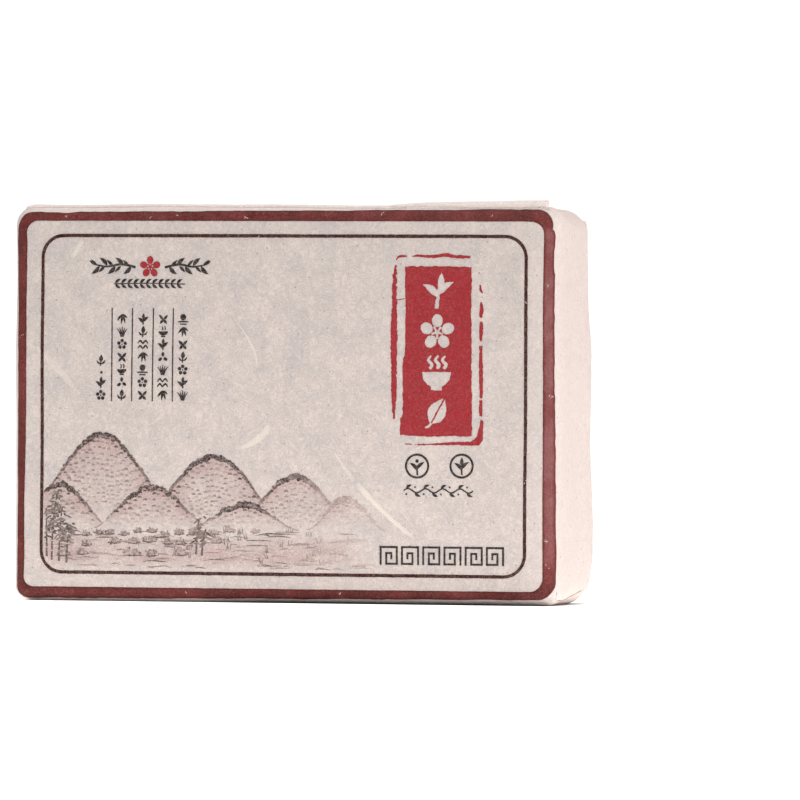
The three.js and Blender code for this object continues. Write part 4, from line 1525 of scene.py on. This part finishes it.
def add_camera():
    """The photograph's view: a long lens from a little right of the front."""
    data = bpy.data.cameras.new("camera")
    data.lens, data.sensor_width = LENS, 36.0
    data.clip_start, data.clip_end = 0.1, 20
    camera = bpy.data.objects.new("camera", data)
    bpy.context.scene.collection.objects.link(camera)
    place, target = Vector(CAMERA_PLACE), Vector(CAMERA_TARGET)
    look = (target - place).to_track_quat("-Z", "Y").to_matrix().to_4x4()
    camera.matrix_world = Matrix.Translation(place) @ look @ Matrix.Rotation(CAMERA_ROLL, 4, "Z")
    bpy.context.scene.camera = camera


AMBIENT, BACKDROP = 0.2, 1.1
LIGHT_TARGET = (0, 0, 0.06)
LIGHTS = {  # place in metres, diameter in metres, power in watts, colour
    "key": ((0.62, -0.42, 0.22), 0.30, 1.25, (1, 1, 1)),
    "side": ((0.8, 0.05, 0.2), 0.4, 1.2, (1, 0.85, 0.82)),
    "overhead": ((-0.05, -0.13, 0.8), 0.6, 3.9, (1, 1, 1)),
}


def area_light(name, place, size, power, colour):
    """A round soft light that faces the brick."""
    data = bpy.data.lights.new(name, "AREA")
    data.shape, data.size, data.energy, data.color = "DISK", size, power, colour
    light = bpy.data.objects.new(name, data)
    bpy.context.scene.collection.objects.link(light)
    light.location = place
    towards = Vector(LIGHT_TARGET) - Vector(place)
    light.rotation_euler = towards.to_track_quat("-Z", "Y").to_euler()


def add_studio():
    """Three soft lights, and a white backdrop that is brighter to the camera than as a light."""
    bpy.context.scene.view_settings.view_transform = "Standard"
    for name, settings in LIGHTS.items():
        area_light(name, *settings)
    world = bpy.data.worlds.new("studio")
    bpy.context.scene.world = world
    world.use_nodes = True
    tree = world.node_tree
    tree.nodes.clear()
    seen = node(tree, "ShaderNodeBackground", i0=(1, 1, 1, 1), i1=BACKDROP)
    lighting = node(tree, "ShaderNodeBackground", i0=(1, 1, 1, 1), i1=AMBIENT)
    path = node(tree, "ShaderNodeLightPath")
    mix = node(tree, "ShaderNodeMixShader", i0=path.outputs["Is Camera Ray"],
               i1=lighting.outputs[0], i2=seen.outputs[0])
    node(tree, "ShaderNodeOutputWorld", i0=mix.outputs[0])


# CONTACT_SHADOW_COLOUR is a painted contact shadow on the floor
FLOOR_HALF, FLOOR_COLOUR, CONTACT_SHADOW_COLOUR = 4.0, (0.9, 0.9, 0.9, 1), (0.12, 0.11, 0.10, 1)
FOOT = (0.08, 0.018, 0.0)  # half the brick's footprint, less its rounded edges
GLOW_SEEN = (0.001, 0.010)  # distances from the foot, in metres, between which the floor lights up
GLOW_FAR = (0.1, 0.5)  # and between which its light on other things falls
MIDDLE_X, MIDDLE_HALF = 0.03, (0.065, 0.035)  # where the contact shadow is darkest


def add_floor():
    """A plain pale floor, as light as the backdrop a little way from the brick."""
    mesh = bpy.data.meshes.new("floor")
    half = FLOOR_HALF
    corners = [(-half, -half, 0), (half, -half, 0), (half, half, 0), (-half, half, 0)]
    mesh.from_pydata(corners, [], [(0, 1, 2, 3)])
    floor = bpy.data.objects.new("floor", mesh)
    bpy.context.scene.collection.objects.link(floor)
    material = bpy.data.materials.new("pale_floor")
    material.use_nodes = True
    tree = material.node_tree
    shader = tree.nodes["Principled BSDF"]
    shader.inputs["Base Color"].default_value = FLOOR_COLOUR
    shader.inputs["Roughness"].default_value = 0.95
    shader.inputs["Specular IOR Level"].default_value = 0.1
    shader.inputs["Emission Color"].default_value = (1, 1, 1, 1)
    place = node(tree, "ShaderNodeNewGeometry").outputs["Position"]
    away = vector_maths(tree, "ABSOLUTE", place)
    away = vector_maths(tree, "SUBTRACT", away, FOOT)
    away = vector_maths(tree, "MAXIMUM", away, (0, 0, 0))
    away = node(tree, "ShaderNodeVectorMath", {"operation": "LENGTH"}, i0=away)
    distance = away.outputs["Value"]
    along = node(tree, "ShaderNodeSeparateXYZ", i0=place).outputs[0]
    off_middle = maths(tree, "ABSOLUTE", maths(tree, "SUBTRACT", along, MIDDLE_X))
    middle = mask(tree, off_middle, *MIDDLE_HALF)
    # A painted contact shadow: the floor's colour darkened within 4 mm of the foot in the middle,
    # and the floor's own glow giving off less light over 4 to 11 mm
    painted_shadow = maths(tree, "MULTIPLY", middle, mask(tree, distance, 0.004, 0.001))
    tree.links.new(blend(tree, painted_shadow, FLOOR_COLOUR, CONTACT_SHADOW_COLOUR), shader.inputs["Base Color"])
    near = maths(tree, "ADD", maths(tree, "MULTIPLY", middle, 0.007), 0.004)
    nearby = mask(tree, distance, 0.0005, near)
    bounce = maths(tree, "MULTIPLY", mask(tree, distance, *GLOW_FAR, 1.0, 0.3), nearby)
    bounce = maths(tree, "MULTIPLY", bounce, mask(tree, along, 0.08, 0.12, 1.0, 0.7))
    seen = mask(tree, distance, *GLOW_SEEN)
    path = node(tree, "ShaderNodeLightPath").outputs["Is Camera Ray"]
    glow = node(tree, "ShaderNodeMix", i0=path, i2=bounce, i3=seen).outputs[0]
    tree.links.new(glow, shader.inputs["Emission Strength"])
    mesh.materials.append(material)


# ------------------------------------------------------------------ putting it together

def bring_to_frame():
    """Brings all pieces together from mm round the block's middle to the frame, in metres."""
    for obj in PIECES:
        co = np.empty(len(obj.data.vertices) * 3, np.float32)
        obj.data.vertices.foreach_get("co", co)
        co = PLACING.to_frame(co.reshape(-1, 3).astype(float))
        obj.data.vertices.foreach_set("co", co.astype(np.float32).ravel())
        obj.data.update()


add_camera()
add_studio()
add_floor()

felt, inking = felted_paper_group(), ink_group()
paper = mulberry_paper("mulberry_paper", felt, PAPER_LIT)
# Painted light: a lighter copy of the paper for the sheets over the top, as if lit from above
lit_top_paper = mulberry_paper("lit_top_paper", felt, PAPER_TOP_LIT)
body = wrapper_body()
sheets = [body, end_flap(-1), end_flap(1)]
over_top = [top_sheet(), under_sheet()]
sheets += [*over_top, corner_ear()]
sheets += [end_tab(side, vertical) for side in (-1, 1) for vertical in (-1, 1)]
PLACING = Placing(sheets)
finishes = {obj: lit_top_paper if obj in over_top else paper for obj in sheets}
for make, name, *laid in INKS:
    finishes[make()] = ink(name, felt, inking, *laid)
bring_to_frame()
for obj, material in finishes.items():
    obj.data.materials.append(material)
    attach(obj, "root")
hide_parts("wrapped_brick")
